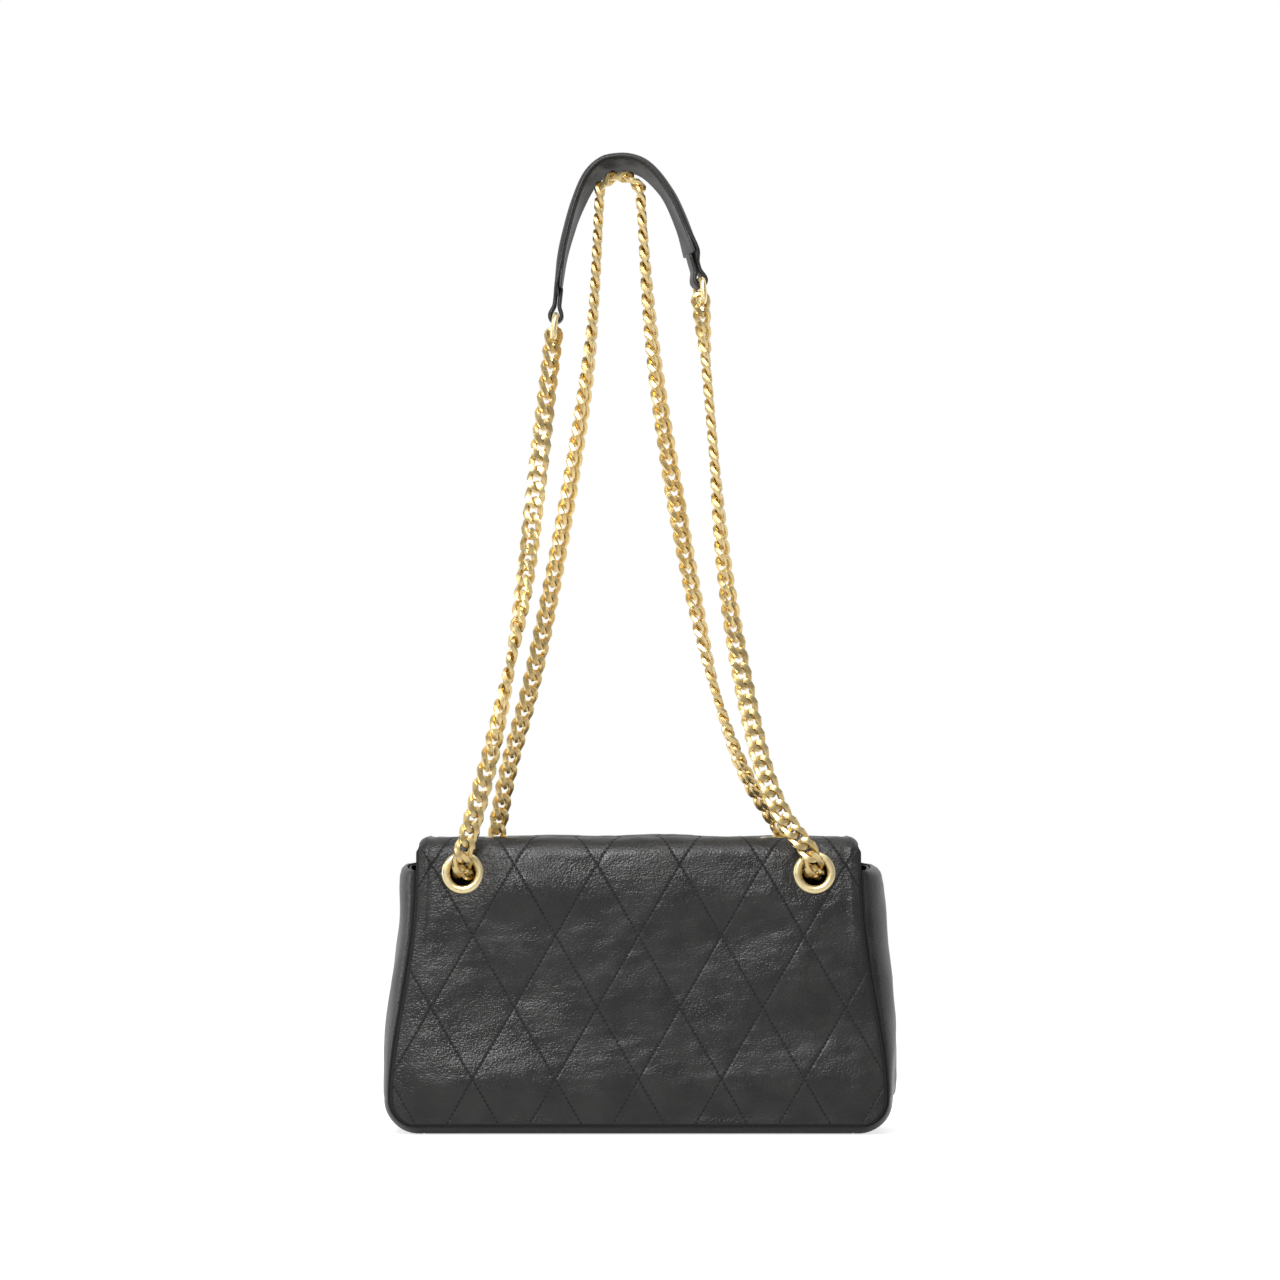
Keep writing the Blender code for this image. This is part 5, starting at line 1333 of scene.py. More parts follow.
def make_snap():
    """Magnetic snap: stud under the flap, socket on the front, each with a plate behind."""
    point, out = snap_place()
    stud = snap_profile(*SNAP_BOSS, SNAP_STUD, SNAP_STUD_SHANK)
    socket = snap_profile(*SNAP_CUP, SNAP_SOCKET, SNAP_SOCKET_SHANK)
    plate = ring_profile(SNAP_SHANK + GAP, SNAP_RADIUS, 0.0, SNAP_PLATE)
    plate = rounded(plate, SNAP_PLATE_ROUND)
    socket_point = point - out * (2 * GAP + SNAP_STUD + SNAP_SOCKET)
    for node, profile, place, axis, body in (
            ("snap_stud", stud, point - out * GAP, -out, "flap"),
            ("snap_socket", socket, socket_point, out, "bag")):
        rings = turned_rings(profile, 48, place + BAG_PLACE, axis)
        piece = solid_of_rings(node + "_disc", rings, 35)
        dress(piece, material_of("fittings"), body, "gold_metal", node)
    for node, place, body in (
            ("snap_stud_washer", point + out * (LINING + GAP), "flap"),
            ("snap_socket_washer", socket_point - out * (GAP + LEATHER + GAP + SNAP_PLATE), "bag")):
        rings = turned_rings(plate, 40, place + BAG_PLACE, out)
        piece = solid_of_rings(node.replace("washer", "backing"), rings, 40, closed=True)
        dress(piece, material_of("steel"), body, "steel_washer", node)


# Chain

def smooth_route(points, samples):
    """Catmull-Rom curve through points, with a set number of samples to a span."""
    points = np.asarray(points, dtype=float)
    padded = np.vstack([2 * points[0] - points[1], points, 2 * points[-1] - points[-2]])
    t = (np.arange(samples) / samples)[:, None]
    spans = []
    for p0, p1, p2, p3 in zip(padded, padded[1:], padded[2:], padded[3:]):
        spans.append(0.5 * (2 * p1 + (p2 - p0) * t + (2 * p0 - 5 * p1 + 4 * p2 - p3) * t ** 2
                            + (3 * p1 - p0 - 3 * p2 + p3) * t ** 3))
    return np.vstack(spans + [points[-1:]])


def point_at(curve, lengths, place):
    """Point of a curve at a length along it."""
    return np.array([np.interp(place, lengths, curve[:, axis]) for axis in range(3)])


def turned_face(along, degrees):
    """Face direction square to a link's run, turned from the back view about the downward run."""
    back = np.array([0.0, -1.0, 0.0])
    level = unit(back - along * back.dot(along))
    down = along if along[2] < 0 else -along
    side = np.cross(level, down)
    return level * math.cos(math.radians(degrees)) + side * math.sin(math.radians(degrees))


def carried_face(face, along, degrees=0.0):
    """A face direction carried on to the next run without turning, then turned about it."""
    face = unit(face - along * face.dot(along))
    side = np.cross(along, face)
    return face * math.cos(math.radians(degrees)) + side * math.sin(math.radians(degrees))


def face_at(table, share):
    """Face angle at a share of a stretch, from a table of shares and angles."""
    return float(np.interp(share, [place for place, _ in table], [angle for _, angle in table]))


def links_along(points, run_on, run_off):
    """Ends of each link along a route, with the share of the route at its middle.

    Each link is a chord one pitch long. At the joint with a neighbouring run the chain steps
    back a little, so that the runs hang together without touching."""
    curve = smooth_route(points, ROUTE_SAMPLES)
    lengths = run_of(curve)
    total = lengths[-1]
    count = round(total / LINK_PITCH)
    pitch = total / count
    for _ in range(PITCH_TRIES):
        place, links = 0.0, []
        for index in range(count):
            if index in (run_on, count - run_off) and 0 < index < count:
                place -= STEP_BACK
            start = point_at(curve, lengths, place)
            ahead = place + pitch
            for _ in range(PITCH_TRIES):
                ahead += pitch - np.linalg.norm(point_at(curve, lengths, ahead) - start)
            links.append((start, point_at(curve, lengths, ahead), (place + ahead) / 2 / total))
            place = ahead
        pitch *= total / place
    return links


def hole_joint(side, out, up):
    """A chain joint near a back eyelet, out from the leather and up from the hole's middle."""
    x, z = EYELET_BACK
    y = -half_depth(z) - out * math.cos(LEAN)
    return BAG_PLACE + np.array([side * x, y, z + up + out * math.sin(LEAN)])


def top_joint(side, rise):
    """A chain joint in the middle of a top eyelet, at a height over the strip."""
    return BAG_PLACE + np.array([side * EYELET_TOP[0], EYELET_TOP[1], BAG_HEIGHT + rise])


def hanging_route(start, path, end):
    """Points of a hanging stretch, whose depth changes evenly between its ends."""
    points = [start]
    for x, z in path:
        share = (z - start[2]) / (end[2] - start[2])
        points.append(np.array([x, start[1] + (end[1] - start[1]) * share, z]))
    return points + [end]


def knee_joint(word, side):
    """The joint over a back eyelet, where the chain bends in towards the hole."""
    return hole_joint(side, KNEE_OUT, KNEE_UP) - np.array([side * KNEE_DRIFT[word], 0.0, 0.0])


def faced(links, table):
    """Links with their face directions in place of their shares, from a table."""
    return [(start, end, turned_face(unit(end - start), face_at(table, share)))
            for start, end, share in links]


def rear_links(word, side, ring_joint):
    """Links from the pad's ring down to the knee over the back eyelet."""
    points = hanging_route(ring_joint, REAR_PATHS[word], knee_joint(word, side))
    return faced(links_along(points, 0, RUN_ON_REAR), REAR_FACES[word])


def inner_links(word, side, first_face):
    """Links from the knee through the back eyelet and on inside to the top eyelet."""
    knee = knee_joint(word, side)
    mouth, inside = hole_joint(side, MOUTH_OUT, MOUTH_UP), hole_joint(side, INNER_OUT, INNER_UP)
    low, high = top_joint(side, HOLE_LINK_RISE - LINK_PITCH), top_joint(side, HOLE_LINK_RISE)
    between = [inside + (low - inside) * np.array(shares) for shares in INSIDE_SHARES]
    level = np.array([1.0, 0.0, 0.0])
    links = [(knee, mouth, np.cross(unit(mouth - knee), level)),
             (mouth, inside, np.cross(unit(inside - mouth), level))]
    route = links_along([inside] + between + [low], 0, 0)
    runs = [(start, end) for start, end, _ in route] + [(low, high)]
    face = links[-1][2]
    alongs = [unit(end - start) for start, end in runs]
    for along in alongs:
        face = carried_face(face, along)
    last = carried_face(first_face, alongs[-1])
    twist = math.degrees(math.atan2(np.cross(face, last).dot(alongs[-1]), face.dot(last)))
    twist = (twist - LEAST_TWIST) % 180 + LEAST_TWIST
    face = links[-1][2]
    for (start, end), along in zip(runs, alongs):
        face = carried_face(face, along, twist / len(runs))
        links.append((start, end, face))
    return links


def front_links():
    """Links from the left top eyelet over the point that holds the strap to the right one."""
    brow_x = LINK_PITCH / 2
    foot_x = brow_x + LINK_PITCH * math.cos(HOOK_BEND)
    foot_z = HOOK_TOP - LINK_PITCH * math.sin(HOOK_BEND)
    halves = {}
    for word, side in SIDES:
        brow = np.array([side * brow_x, 0.0, HOOK_TOP])
        foot = np.array([side * foot_x, 0.0, foot_z])
        route = hanging_route(foot, FRONT_PATHS[word], top_joint(side, HOLE_LINK_RISE))
        links = [(brow, foot, 0.0)] + links_along(route, 0, RUN_ON_FRONT)
        halves[word] = faced(links, FRONT_FACES[word])
    left = [(end, start, face) for start, end, face in reversed(halves["left"])]
    start, end = left[-1][1], halves["right"][0][0]
    face = turned_face(unit(end - start), FRONT_FACES["left"][0][1])
    return left + [(start, end, face)] + halves["right"]


def wire_rings(line, out, face, wire, sides):
    """Rings of points round a wire's middle line, from its outward and face directions."""
    angle = 2 * np.pi * np.arange(sides) / sides
    return line[:, None] + wire / 2 * (np.cos(angle)[None, :, None] * out[:, None]
                                       + np.sin(angle)[None, :, None] * face[:, None])


def link_shape(sizes):
    """Points of one curb link along X: a wire round an oval, twisted about X in step with x and
    filed flat on both faces. Returned as stations by sides by three."""
    stations = sizes.link_stations
    half_length = (LINK_PITCH + sizes.link_wire - LINK_BITE) / 2
    half_width = (LINK_WIDTH - sizes.link_wire) / 2
    angle = 2 * np.pi * (np.arange(stations) + 0.5) / stations
    along, wide = oblong(angle, sizes.link_power)
    along, wide = half_length * along, half_width * wide
    along *= half_length / np.abs(along).max()
    turn = -LINK_TWIST * along / half_length
    middle = np.stack([along, wide * np.cos(turn), wide * np.sin(turn)], axis=1)
    run = unit(np.roll(middle, -1, 0) - np.roll(middle, 1, 0))
    face = np.stack([0 * turn, -np.sin(turn), np.cos(turn)], axis=1)
    out = unit(np.cross(run, face))
    rings = wire_rings(middle, out, np.cross(out, run), sizes.link_wire, sizes.link_sides)
    rings[..., 2] = np.clip(rings[..., 2], -LINK_FILED / 2, LINK_FILED / 2)
    return rings


def make_chain(name, node, links, sizes):
    """A run of curb chain: the link's points placed in each link's own frame, all at once."""
    start, end, face = (np.array(part) for part in zip(*links))
    along = end - start
    length = np.linalg.norm(along, axis=1, keepdims=True)
    along = along / length
    face = unit(face - along * np.einsum("ij,ij->i", along, face)[:, None])
    wide = np.cross(face, along)
    shape = link_shape(sizes)
    stations, sides = shape.shape[:2]
    flat = shape.reshape(-1, 3)
    scale = (length + sizes.link_wire - LINK_BITE) / (LINK_PITCH + sizes.link_wire - LINK_BITE)
    points = ((start + end)[:, None] / 2 + flat[None, :, :1] * scale[:, None] * along[:, None]
              + flat[None, :, 1:2] * wide[:, None] + flat[None, :, 2:] * face[:, None])
    quads = grid_quads(stations, sides, True, True).reshape(-1, 4)
    faces = (np.arange(len(links))[:, None, None] * len(flat) + quads[None]).reshape(-1, 4)
    piece = put_mesh(name, points, [faces], 32)
    dress(piece, material_of("chain"), "bag", "gold_metal", node)


def make_chains(sizes, ring_joints):
    """The whole chain in five runs, from the pad's left ring to its right ring."""
    front = front_links()
    make_chain("curb_chain_front", "chain_front", front[RUN_ON_FRONT:-RUN_ON_FRONT], sizes)
    ends = {"left": front[:RUN_ON_FRONT], "right": front[-RUN_ON_FRONT:]}
    for word, side in SIDES:
        rear = rear_links(word, side, ring_joints[word])
        inner = inner_links(word, side, ends[word][0][2])
        make_chain("curb_chain_rear_" + word, "chain_rear_" + word, rear[:-RUN_ON_REAR], sizes)
        make_chain("curb_chain_inner_" + word, "chain_inner_" + word,
                   rear[-RUN_ON_REAR:] + inner + ends[word], sizes)


# Shoulder pad

def pad_frames(steps):
    """Middle line of the pad as places, directions, outward normals and width directions."""
    left = -PAD_SPAN * PAD_LEFT_SHARE
    points = [(left + x * PAD_SPAN, 0.0, PAD_TOP + (z - 1) * PAD_RISE) for x, z in PAD_ARCH]
    curve = smooth_route(points, ROUTE_SAMPLES)
    lengths = run_of(curve)
    end = PAD_TAB_LENGTH + RING_WIRE / 2 + GAP + PAD_LEATHER
    reach = (lengths[-1] - 2 * end) / steps / 2
    frames = []
    for step in range(steps + 1):
        place = end + 2 * reach * step
        here = point_at(curve, lengths, place)
        along = unit(point_at(curve, lengths, place + PAD_BEARING)
                     - point_at(curve, lengths, place - PAD_BEARING))
        near = np.array([0.0, -1.0, 0.0])
        out = np.cross(near, along)
        roll = math.radians(np.interp(step / steps, PAD_ROLL_SHARES, PAD_ROLLS))
        wide = near * math.cos(roll) + out * math.sin(roll)
        out = out * math.cos(roll) - near * math.sin(roll)
        frames.append((here, along, out, wide))
    return frames


def tab_line():
    """Folded end of the pad as places along and out with half widths, from the shoulder.

    It narrows to the tab, goes round the ring's bar in a half circle and comes back."""
    radius = RING_WIRE / 2 + GAP + PAD_LEATHER / 2
    spread = GAP / 2 + PAD_LEATHER / 2
    share = np.linspace(0, 1, 7)
    narrow = PAD_WIDTH / 2 + (PAD_TAB_WIDTH - PAD_WIDTH) / 2 * ease(share)
    line = [(PAD_SHOULDER * s, spread, w) for s, w in zip(share, narrow)]
    neck = np.linspace(PAD_SHOULDER, PAD_TAB_LENGTH, 8)[1:-1]
    drift = spread + (radius - spread) * ease(1 - (PAD_TAB_LENGTH - neck) / PAD_TAB_SPREAD)
    half = PAD_TAB_WIDTH / 2
    line += [(x, d, half) for x, d in zip(neck, drift)]
    angle = np.linspace(np.pi / 2, -np.pi / 2, 13)
    line += [(PAD_TAB_LENGTH + radius * math.cos(a), radius * math.sin(a), half) for a in angle]
    line += [(x, -d, half) for x, d in zip(neck[::-1], drift[::-1])]
    line += [(PAD_SHOULDER * s, -spread, half) for s in (1.0, 0.7, 0.4, 0.12)]
    return line


def tab_rows(frame, direction):
    """Middle places, width directions and half widths of a folded end."""
    point, along, out, wide = frame
    return [(point + along * forward * direction + out * outward, wide, half)
            for forward, outward, half in tab_line()]


def cross_strip(rows, columns, crown):
    """Grid across rows of middle, width direction and half width, its normals, and its rise
    along them: a crown in the middle that falls as 1 - share^2 to the sides."""
    share = np.linspace(-1, 1, columns)
    middle, wide, half = (np.array(part) for part in zip(*rows))
    grid = middle[:, None] + wide[:, None] * (half[:, None] * share)[..., None]
    return grid, normals_of(grid), crown[:, None] * (1 - share ** 2)


def make_pad(sizes):
    """Outer leather of the pad with its folded ends, and the strip of leather under it."""
    frames = pad_frames(70)
    spread = GAP / 2 + PAD_LEATHER / 2
    left = list(reversed(tab_rows(frames[0], -1)))[:-1]
    right = tab_rows(frames[-1], 1)[1:]
    middle = [(point + out * spread, wide, PAD_WIDTH / 2) for point, _, out, wide in frames]
    rows = [(p, w, h - PAD_LEATHER / 2) for p, w, h in left + middle + right]
    count = np.arange(len(middle))
    fade = ease(np.minimum(count, count[::-1]) / 8)
    full = np.concatenate([np.zeros(len(left)), fade, np.zeros(len(right))])
    grid, normal, rise = cross_strip(rows, 19, sizes.pad_crown * full)
    turned = np.clip((np.abs(np.linspace(-1, 1, 19)) - 0.6) / 0.4, 0, 1) ** 2
    rise = rise - sizes.pad_turn * full[:, None] * turned[None, :]
    at = len(left) + len(middle) // 2
    side = 1.0 if normal[at, 9] @ frames[len(frames) // 2][2] > 0 else -1.0
    outer = grid + normal * side * (PAD_LEATHER / 2 + rise)[..., None]
    piece = ply("pad_top_leather", outer, PAD_LEATHER, lay_of(outer), side, rim=5,
                crease=np.full(outer.shape[:2], PAD_CREASE))
    dress(piece, material_of("pad"), "bag", "black_leather", "pad_outer")
    rows = [(point - out * GAP / 2, wide, PAD_WIDTH / 2 - PAD_UNDER / 2 - sizes.pad_turn * 1.5 * share)
            for (point, _, out, wide), share in zip(frames, fade)]
    grid, normal, rise = cross_strip(rows, 15, sizes.pad_crown * fade)
    outer = grid + normal * side * rise[..., None]
    piece = ply("pad_inner_leather", outer, PAD_UNDER, lay_of(outer), side, rim=5,
                crease=np.full(outer.shape[:2], PAD_CREASE))
    dress(piece, material_of("pad_under"), "bag", "black_leather", "pad_under")
    return {"left": make_ring("left", frames[0], -1), "right": make_ring("right", frames[-1], 1)}


def make_ring(word, frame, direction):
    """End ring through the pad's fold, which hangs towards the chain: a round wire along a
    rounded oblong. Returns the place where the chain's first joint bears."""
    point, along, _, wide = frame
    bar = point + along * direction * PAD_TAB_LENGTH
    x, z = REAR_PATHS[word][0]
    ahead = np.array([x, 0.0, z]) - bar
    ahead = unit(ahead - wide * ahead.dot(wide))
    half_wide = (RING_WIDTH - RING_WIRE) / 2 - RING_CORNER
    length = RING_HEIGHT - RING_WIRE
    corner = min(RING_CORNER, length / 2)
    line = []
    for quarter, (sx, sy) in enumerate(((1, 1), (-1, 1), (-1, 0), (1, 0))):
        angle = np.pi / 2 * (quarter + np.linspace(0, 1, 9))
        across = sx * half_wide + corner * np.cos(angle)
        down = sy * (length - 2 * corner) + corner + corner * np.sin(angle)
        line.append(bar + across[:, None] * wide + down[:, None] * ahead)
    line = np.vstack(line)
    run = unit(np.roll(line, -1, 0) - np.roll(line, 1, 0))
    flat = np.broadcast_to(np.cross(wide, ahead), run.shape)
    rings = wire_rings(line, np.cross(run, flat), flat, RING_WIRE, 16)
    piece = solid_of_rings("pad_end_ring_" + word, rings, 60, closed=True)
    dress(piece, material_of("fittings"), "bag", "gold_metal", "pad_ring_" + word)
    return bar + ahead * (length - RING_WIRE / 2 - RING_SLACK)


# Stage

def area_light(name, place, size, power):
    """A rectangular soft light that looks at the bag."""
    light = bpy.data.lights.new(name, "AREA")
    light.shape = "RECTANGLE"
    light.size, light.size_y = size
    light.energy = power
    lamp = bpy.data.objects.new(name, light)
    lamp.location = place
    lamp.rotation_euler = (Vector(LIGHT_AIM) - Vector(place)).to_track_quat("-Z", "Y").to_euler()
    bpy.context.scene.collection.objects.link(lamp)


def direct_rays(tree, path):
    """1 for rays of the camera and through clear surfaces."""
    return calc(tree, "MAXIMUM", path["Is Camera Ray"], path["Is Transmission Ray"])


def seen_rays(tree):
    """1 for rays of the camera and clear surfaces; mirror-like ones see white behind the bag,
    which falls off in front of it; 0 for the rest."""
    path = put(tree, "ShaderNodeLightPath").outputs
    place = put(tree, "ShaderNodeSeparateXYZ", {0: object_place(tree)})
    behind = remap(tree, place.outputs[1], -0.25, 0.35)
    behind = calc(tree, "MULTIPLY", path["Is Glossy Ray"], behind)
    return calc(tree, "MAXIMUM", direct_rays(tree, path), behind)


def make_floor(stage):
    """Pale floor that keeps the shadow and shows white to the camera."""
    reach = stage.floor_reach
    low = BAG_PLACE[2] - FLOOR_GAP
    corners = np.array([(x * reach, y * reach, low) for x, y in ((-1, -1), (1, -1), (1, 1), (-1, 1))])
    floor = put_mesh("floor", corners, [np.array([[0, 1, 2, 3]])])
    material, tree, shader = new_material("pale_floor")
    feed(tree, shader, {"Base Color": tuple(stage.floor_colour), "Roughness": 1.0,
                        "Specular IOR Level": 0.0})
    white = calc(tree, "MULTIPLY", seen_rays(tree), stage.floor_glow)
    glow = put(tree, "ShaderNodeEmission", {"Strength": white})
    both = put(tree, "ShaderNodeAddShader", {0: shader.outputs[0], 1: glow.outputs[0]})
    feed(tree, tree.nodes["Material Output"], {"Surface": both.outputs[0]})
    floor.data.materials.append(material)


def make_world(stage):
    """White for the camera and a plain level of light; mirror-like surfaces see the white
    background behind the bag, which falls off to a dimmer room in front of it."""
    world = bpy.data.worlds.new("studio")
    world.use_nodes = True
    tree = world.node_tree
    path = put(tree, "ShaderNodeLightPath").outputs
    way = put(tree, "ShaderNodeTexCoord").outputs["Generated"]
    looking = put(tree, "ShaderNodeSeparateXYZ", {0: way})
    room = remap(tree, looking.outputs[1], -0.30, 0.55, stage.room, 1.0)
    white = direct_rays(tree, path)
    glossy = calc(tree, "MULTIPLY", path["Is Glossy Ray"], calc(tree, "SUBTRACT", 1.0, white))
    level = calc(tree, "MULTIPLY_ADD", white, 1.0 - stage.ambient, stage.ambient)
    level = calc(tree, "MULTIPLY_ADD", glossy, calc(tree, "SUBTRACT", room, stage.ambient), level)
    feed(tree, tree.nodes["Background"], {"Color": (1.0, 1.0, 1.0, 1.0), "Strength": level})
    bpy.context.scene.world = world


def make_camera(stage):
    """Level camera behind the bag's quilted back, with a long lens."""
    camera = bpy.data.cameras.new("camera")
    camera.sensor_width = FILM_WIDTH
    camera.lens = FILM_WIDTH * stage.camera_distance / stage.frame_width
    camera.clip_end = 30.0
    holder = bpy.data.objects.new("camera", camera)
    camera.shift_y = (stage.view_z - stage.camera_z) / stage.frame_width
    holder.location = (stage.camera_x, -stage.camera_distance, stage.camera_z)
    holder.rotation_euler = (math.pi / 2, 0.0, 0.0)
    bpy.context.scene.collection.objects.link(holder)
    bpy.context.scene.camera = holder


# Settings

class BagSizes(PropertyGroup):
    """Sizes of the bag's dressing."""

    quilt_spacing: FloatProperty(
        name="Quilt spacing", description="Distance between neighbouring stitch lines",
        default=0.03464, unit="LENGTH", precision=4)
    quilt_start: FloatProperty(
        name="Quilt start", description="Height of a row of crossings along the leather",
        default=0.0917, unit="LENGTH", precision=4)
    pillow_rise: FloatProperty(
        name="Pillow rise", description="Puff of the leather between the lines", default=0.00016,
        unit="LENGTH", precision=5)
    groove_depth: FloatProperty(
        name="Groove depth", description="Depth that the stitches pull in", default=0.00006,
        unit="LENGTH", precision=5)
    groove_width: FloatProperty(
        name="Groove width", description="Half width of the pulled groove", default=0.0012,
        unit="LENGTH", precision=4)
    leather_step: FloatProperty(
        name="Leather step", description="Distance between rows of the leather's grid",
        default=0.0014, unit="LENGTH", precision=4)
    leather_columns: IntProperty(
        name="Leather columns", description="Places across the leather's grid", default=173,
        min=20)
    leather_hole: FloatProperty(
        name="Leather hole", description="Radius of the holes under the eyelets", default=0.0073,
        unit="LENGTH", precision=4)
    link_wire: FloatProperty(
        name="Link wire", description="Thickness of the chain's wire", default=0.0032,
        unit="LENGTH", precision=4)
    link_power: FloatProperty(
        name="Link fullness", description="Below 1 the link is squarer than an oval",
        default=0.75, min=0.4, max=1.2)
    link_stations: IntProperty(
        name="Link stations", description="Places round a link", default=16, min=6)
    link_sides: IntProperty(
        name="Wire sides", description="Sides of a link's wire", default=6, min=4)
    pad_crown: FloatProperty(
        name="Pad crown", description="Rise of the shoulder pad's middle", default=0.0005,
        unit="LENGTH", precision=4)
    pad_turn: FloatProperty(
        name="Pad edges", description="How far the pad's edges turn down", default=0.0016,
        unit="LENGTH", precision=4)


class BagLooks(PropertyGroup):
    """Colours of the bag."""

    leather: FloatVectorProperty(
        name="Leather", description="Colour of the leather", subtype="COLOR", size=4,
        default=(0.0115, 0.0109, 0.0104, 1.0), min=0, max=1)
    pad_under: FloatVectorProperty(
        name="Pad inside", description="Colour of the leather under the pad", subtype="COLOR",
        size=4, default=(0.022, 0.0215, 0.022, 1.0), min=0, max=1)
    gold: FloatVectorProperty(
        name="Chain", description="Colour of the chain's plating", subtype="COLOR", size=4,
        default=(0.79, 0.61, 0.29, 1.0), min=0, max=1)
    pale_gold: FloatVectorProperty(
        name="Fittings", description="Colour of the eyelets and rings", subtype="COLOR", size=4,
        default=(0.94, 0.79, 0.45, 1.0), min=0, max=1)
    steel: FloatVectorProperty(
        name="Steel", description="Colour of the washers", subtype="COLOR", size=4,
        default=(0.55, 0.55, 0.56, 1.0), min=0, max=1)
    lining: FloatVectorProperty(
        name="Lining", description="Colour of the lining cloth", subtype="COLOR", size=4,
        default=(0.022, 0.021, 0.022, 1.0), min=0, max=1)
    board: FloatVectorProperty(
        name="Board", description="Colour of the base board", subtype="COLOR", size=4,
        default=(0.32, 0.25, 0.17, 1.0), min=0, max=1)


class BagStage(PropertyGroup):
    """Floor, lights and camera."""

    floor_colour: FloatVectorProperty(
        name="Floor", description="Colour of the floor", subtype="COLOR", size=4,
        default=(0.62, 0.62, 0.62, 1.0), min=0, max=1)
    floor_glow: FloatProperty(
        name="Floor white", description="White added to the floor for the camera", default=0.72,
        min=0, max=1)
    floor_reach: FloatProperty(
        name="Floor reach", description="Half the floor's side", default=4.0, unit="LENGTH")
    ambient: FloatProperty(
        name="Ambient", description="Level of the surroundings as a light", default=0.5, min=0,
        max=2)
    room: FloatProperty(
        name="Room", description="Level of the room in front of the bag in reflections",
        default=0.31, min=0, max=1)
    key_power: FloatProperty(
        name="Key light", description="Power of the light in front", default=16.0, unit="POWER")
    top_power: FloatProperty(
        name="Top light", description="Power of the light above", default=5.0, unit="POWER")
    side_power: FloatProperty(
        name="Side lights", description="Power of the two side lights", default=4.0, unit="POWER")
    camera_distance: FloatProperty(
        name="Camera distance", description="Distance of the camera", default=2.5, unit="LENGTH")
    frame_width: FloatProperty(
        name="Frame width", description="Width of the view at the strap's plane", default=0.625,
        unit="LENGTH")
    camera_x: FloatProperty(
        name="Camera side", description="Sideways place of the camera", default=0.00977,
        unit="LENGTH", precision=4)
    camera_z: FloatProperty(
        name="Camera height", description="Height of the camera from the strap's point",
        default=-0.3000, unit="LENGTH", precision=4)
    view_z: FloatProperty(
        name="View height", description="Height at the middle of the view", default=-0.2249,
        unit="LENGTH", precision=4)


# Operators

class BAG_OT_quilted_leather(Operator):
    """Back, top and flap of quilted leather"""
    bl_idname = "bag.quilted_leather"
    bl_label = "Quilted leather"

    def execute(self, context):
        make_quilted_leather(context.scene.bag_sizes)
        return {"FINISHED"}


class BAG_OT_front_leather(Operator):
    """Quilted front panel under the flap"""
    bl_idname = "bag.front_leather"
    bl_label = "Front panel"

    def execute(self, context):
        make_front_leather(context.scene.bag_sizes)
        return {"FINISHED"}


class BAG_OT_gussets(Operator):
    """Side gussets and the base between them"""
    bl_idname = "bag.gussets"
    bl_label = "Gussets and base"

    def execute(self, context):
        for word, side in SIDES:
            make_gusset(word, side)
        make_base_leather()
        board = frame["nodes"]["base_board"].data.materials
        board.clear()
        board.append(material_of("board"))
        return {"FINISHED"}


class BAG_OT_inside(Operator):
    """Facings, flap lining and cloth lining"""
    bl_idname = "bag.inside"
    bl_label = "Inside"

    def execute(self, context):
        for word, side in SIDES:
            make_gusset_facing(word, side)
        make_facings()
        make_flap_lining()
        make_lining_bag()
        return {"FINISHED"}


class BAG_OT_fittings(Operator):
    """Eyelets and magnetic snap"""
    bl_idname = "bag.fittings"
    bl_label = "Eyelets and snap"

    def execute(self, context):
        make_eyelets()
        make_snap()
        return {"FINISHED"}


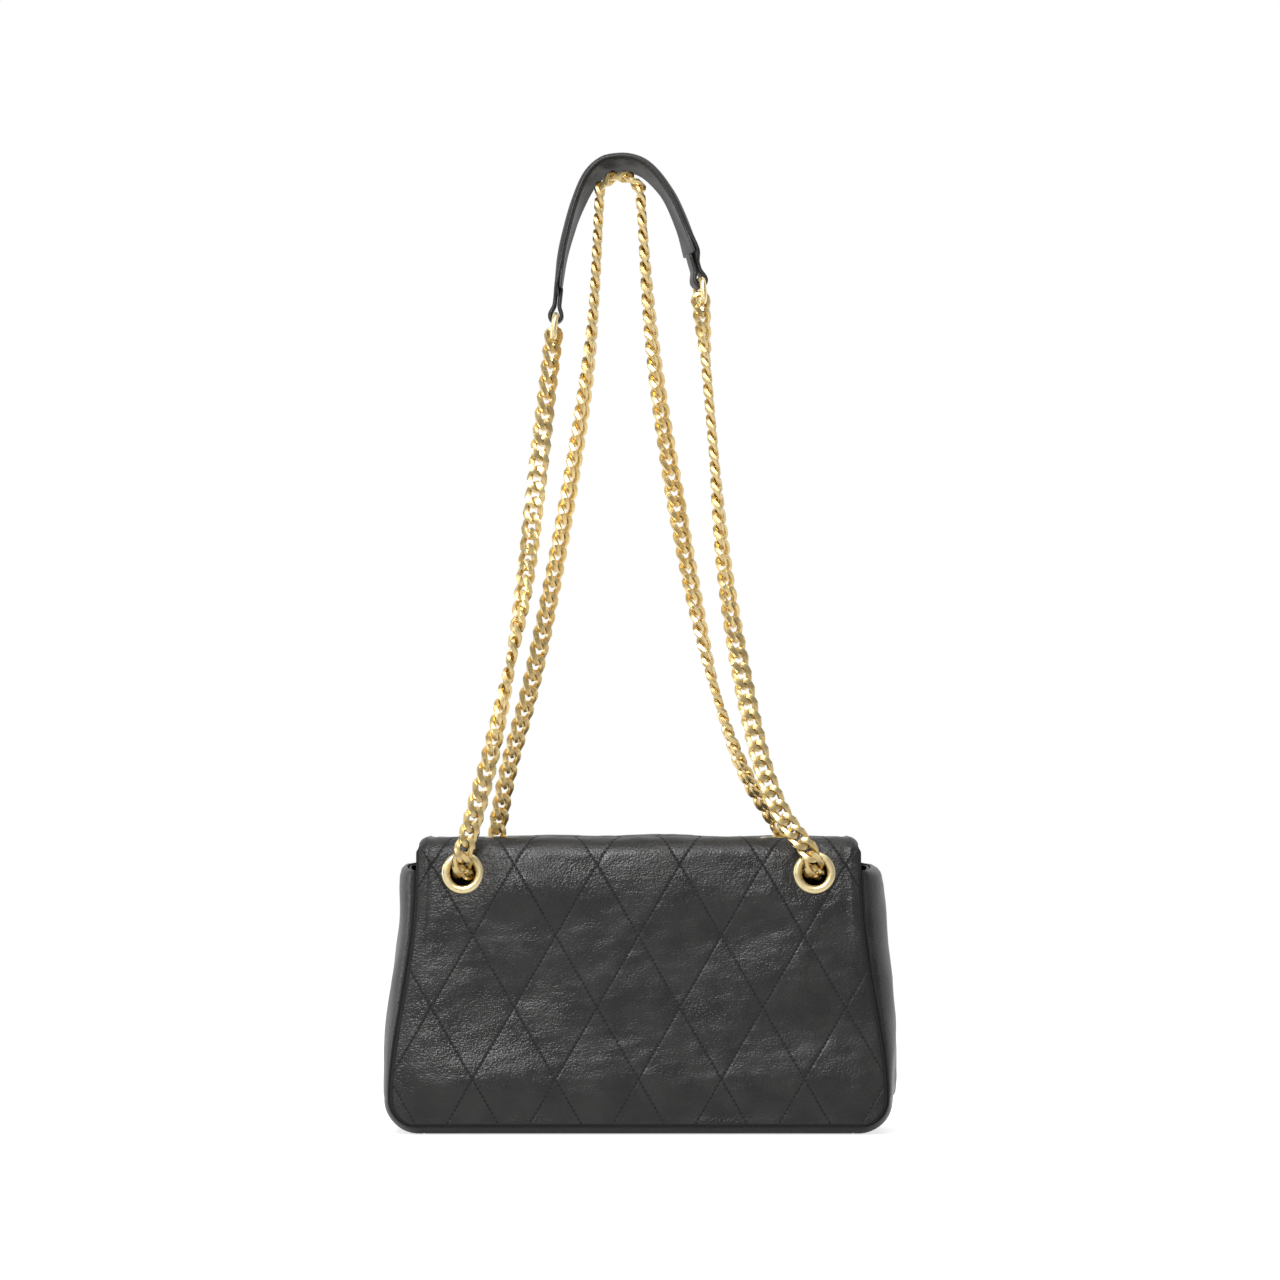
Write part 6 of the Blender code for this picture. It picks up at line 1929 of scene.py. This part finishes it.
class BAG_OT_strap(Operator):
    """Shoulder pad, its end rings and the curb chain"""
    bl_idname = "bag.strap"
    bl_label = "Strap"

    def execute(self, context):
        sizes = context.scene.bag_sizes
        make_chains(sizes, make_pad(sizes))
        return {"FINISHED"}


class BAG_OT_stage(Operator):
    """Floor, lights and camera"""
    bl_idname = "bag.stage"
    bl_label = "Stage"

    def execute(self, context):
        stage = context.scene.bag_stage
        make_world(stage)
        make_floor(stage)
        make_camera(stage)
        for name, place, size, power, share in LIGHTS:
            area_light(name, place, size, getattr(stage, power) * share)
        return {"FINISHED"}


class BAG_PT_pieces(Panel):
    """Buttons that make the bag's pieces, with their settings"""
    bl_idname = "BAG_PT_pieces"
    bl_label = "Quilted shoulder bag"
    bl_space_type = "VIEW_3D"
    bl_region_type = "UI"
    bl_category = "Bag"

    def draw(self, context):
        for operator in OPERATORS:
            self.layout.operator(operator.bl_idname)
        for group in (context.scene.bag_sizes, context.scene.bag_looks, context.scene.bag_stage):
            box = self.layout.box()
            for key in group.__annotations__:
                box.prop(group, key)


SETTINGS = (BagSizes, BagLooks, BagStage)
OPERATORS = (BAG_OT_quilted_leather, BAG_OT_front_leather, BAG_OT_gussets, BAG_OT_inside,
             BAG_OT_fittings, BAG_OT_strap, BAG_OT_stage)


def register():
    """Register the settings, operators and panel."""
    for entry in SETTINGS + OPERATORS + (BAG_PT_pieces,):
        bpy.utils.register_class(entry)
    bpy.types.Scene.bag_sizes = PointerProperty(type=BagSizes)
    bpy.types.Scene.bag_looks = PointerProperty(type=BagLooks)
    bpy.types.Scene.bag_stage = PointerProperty(type=BagStage)


def unregister():
    """Take them away again."""
    for key in ("bag_sizes", "bag_looks", "bag_stage"):
        delattr(bpy.types.Scene, key)
    for entry in reversed(SETTINGS + OPERATORS + (BAG_PT_pieces,)):
        bpy.utils.unregister_class(entry)


def main():
    """Dress the bag piece by piece."""
    register()
    bpy.context.scene.view_settings.view_transform = "Standard"
    for operator in OPERATORS:
        group, name = operator.bl_idname.split(".")
        getattr(getattr(bpy.ops, group), name)()


if __name__ == "__main__":
    main()
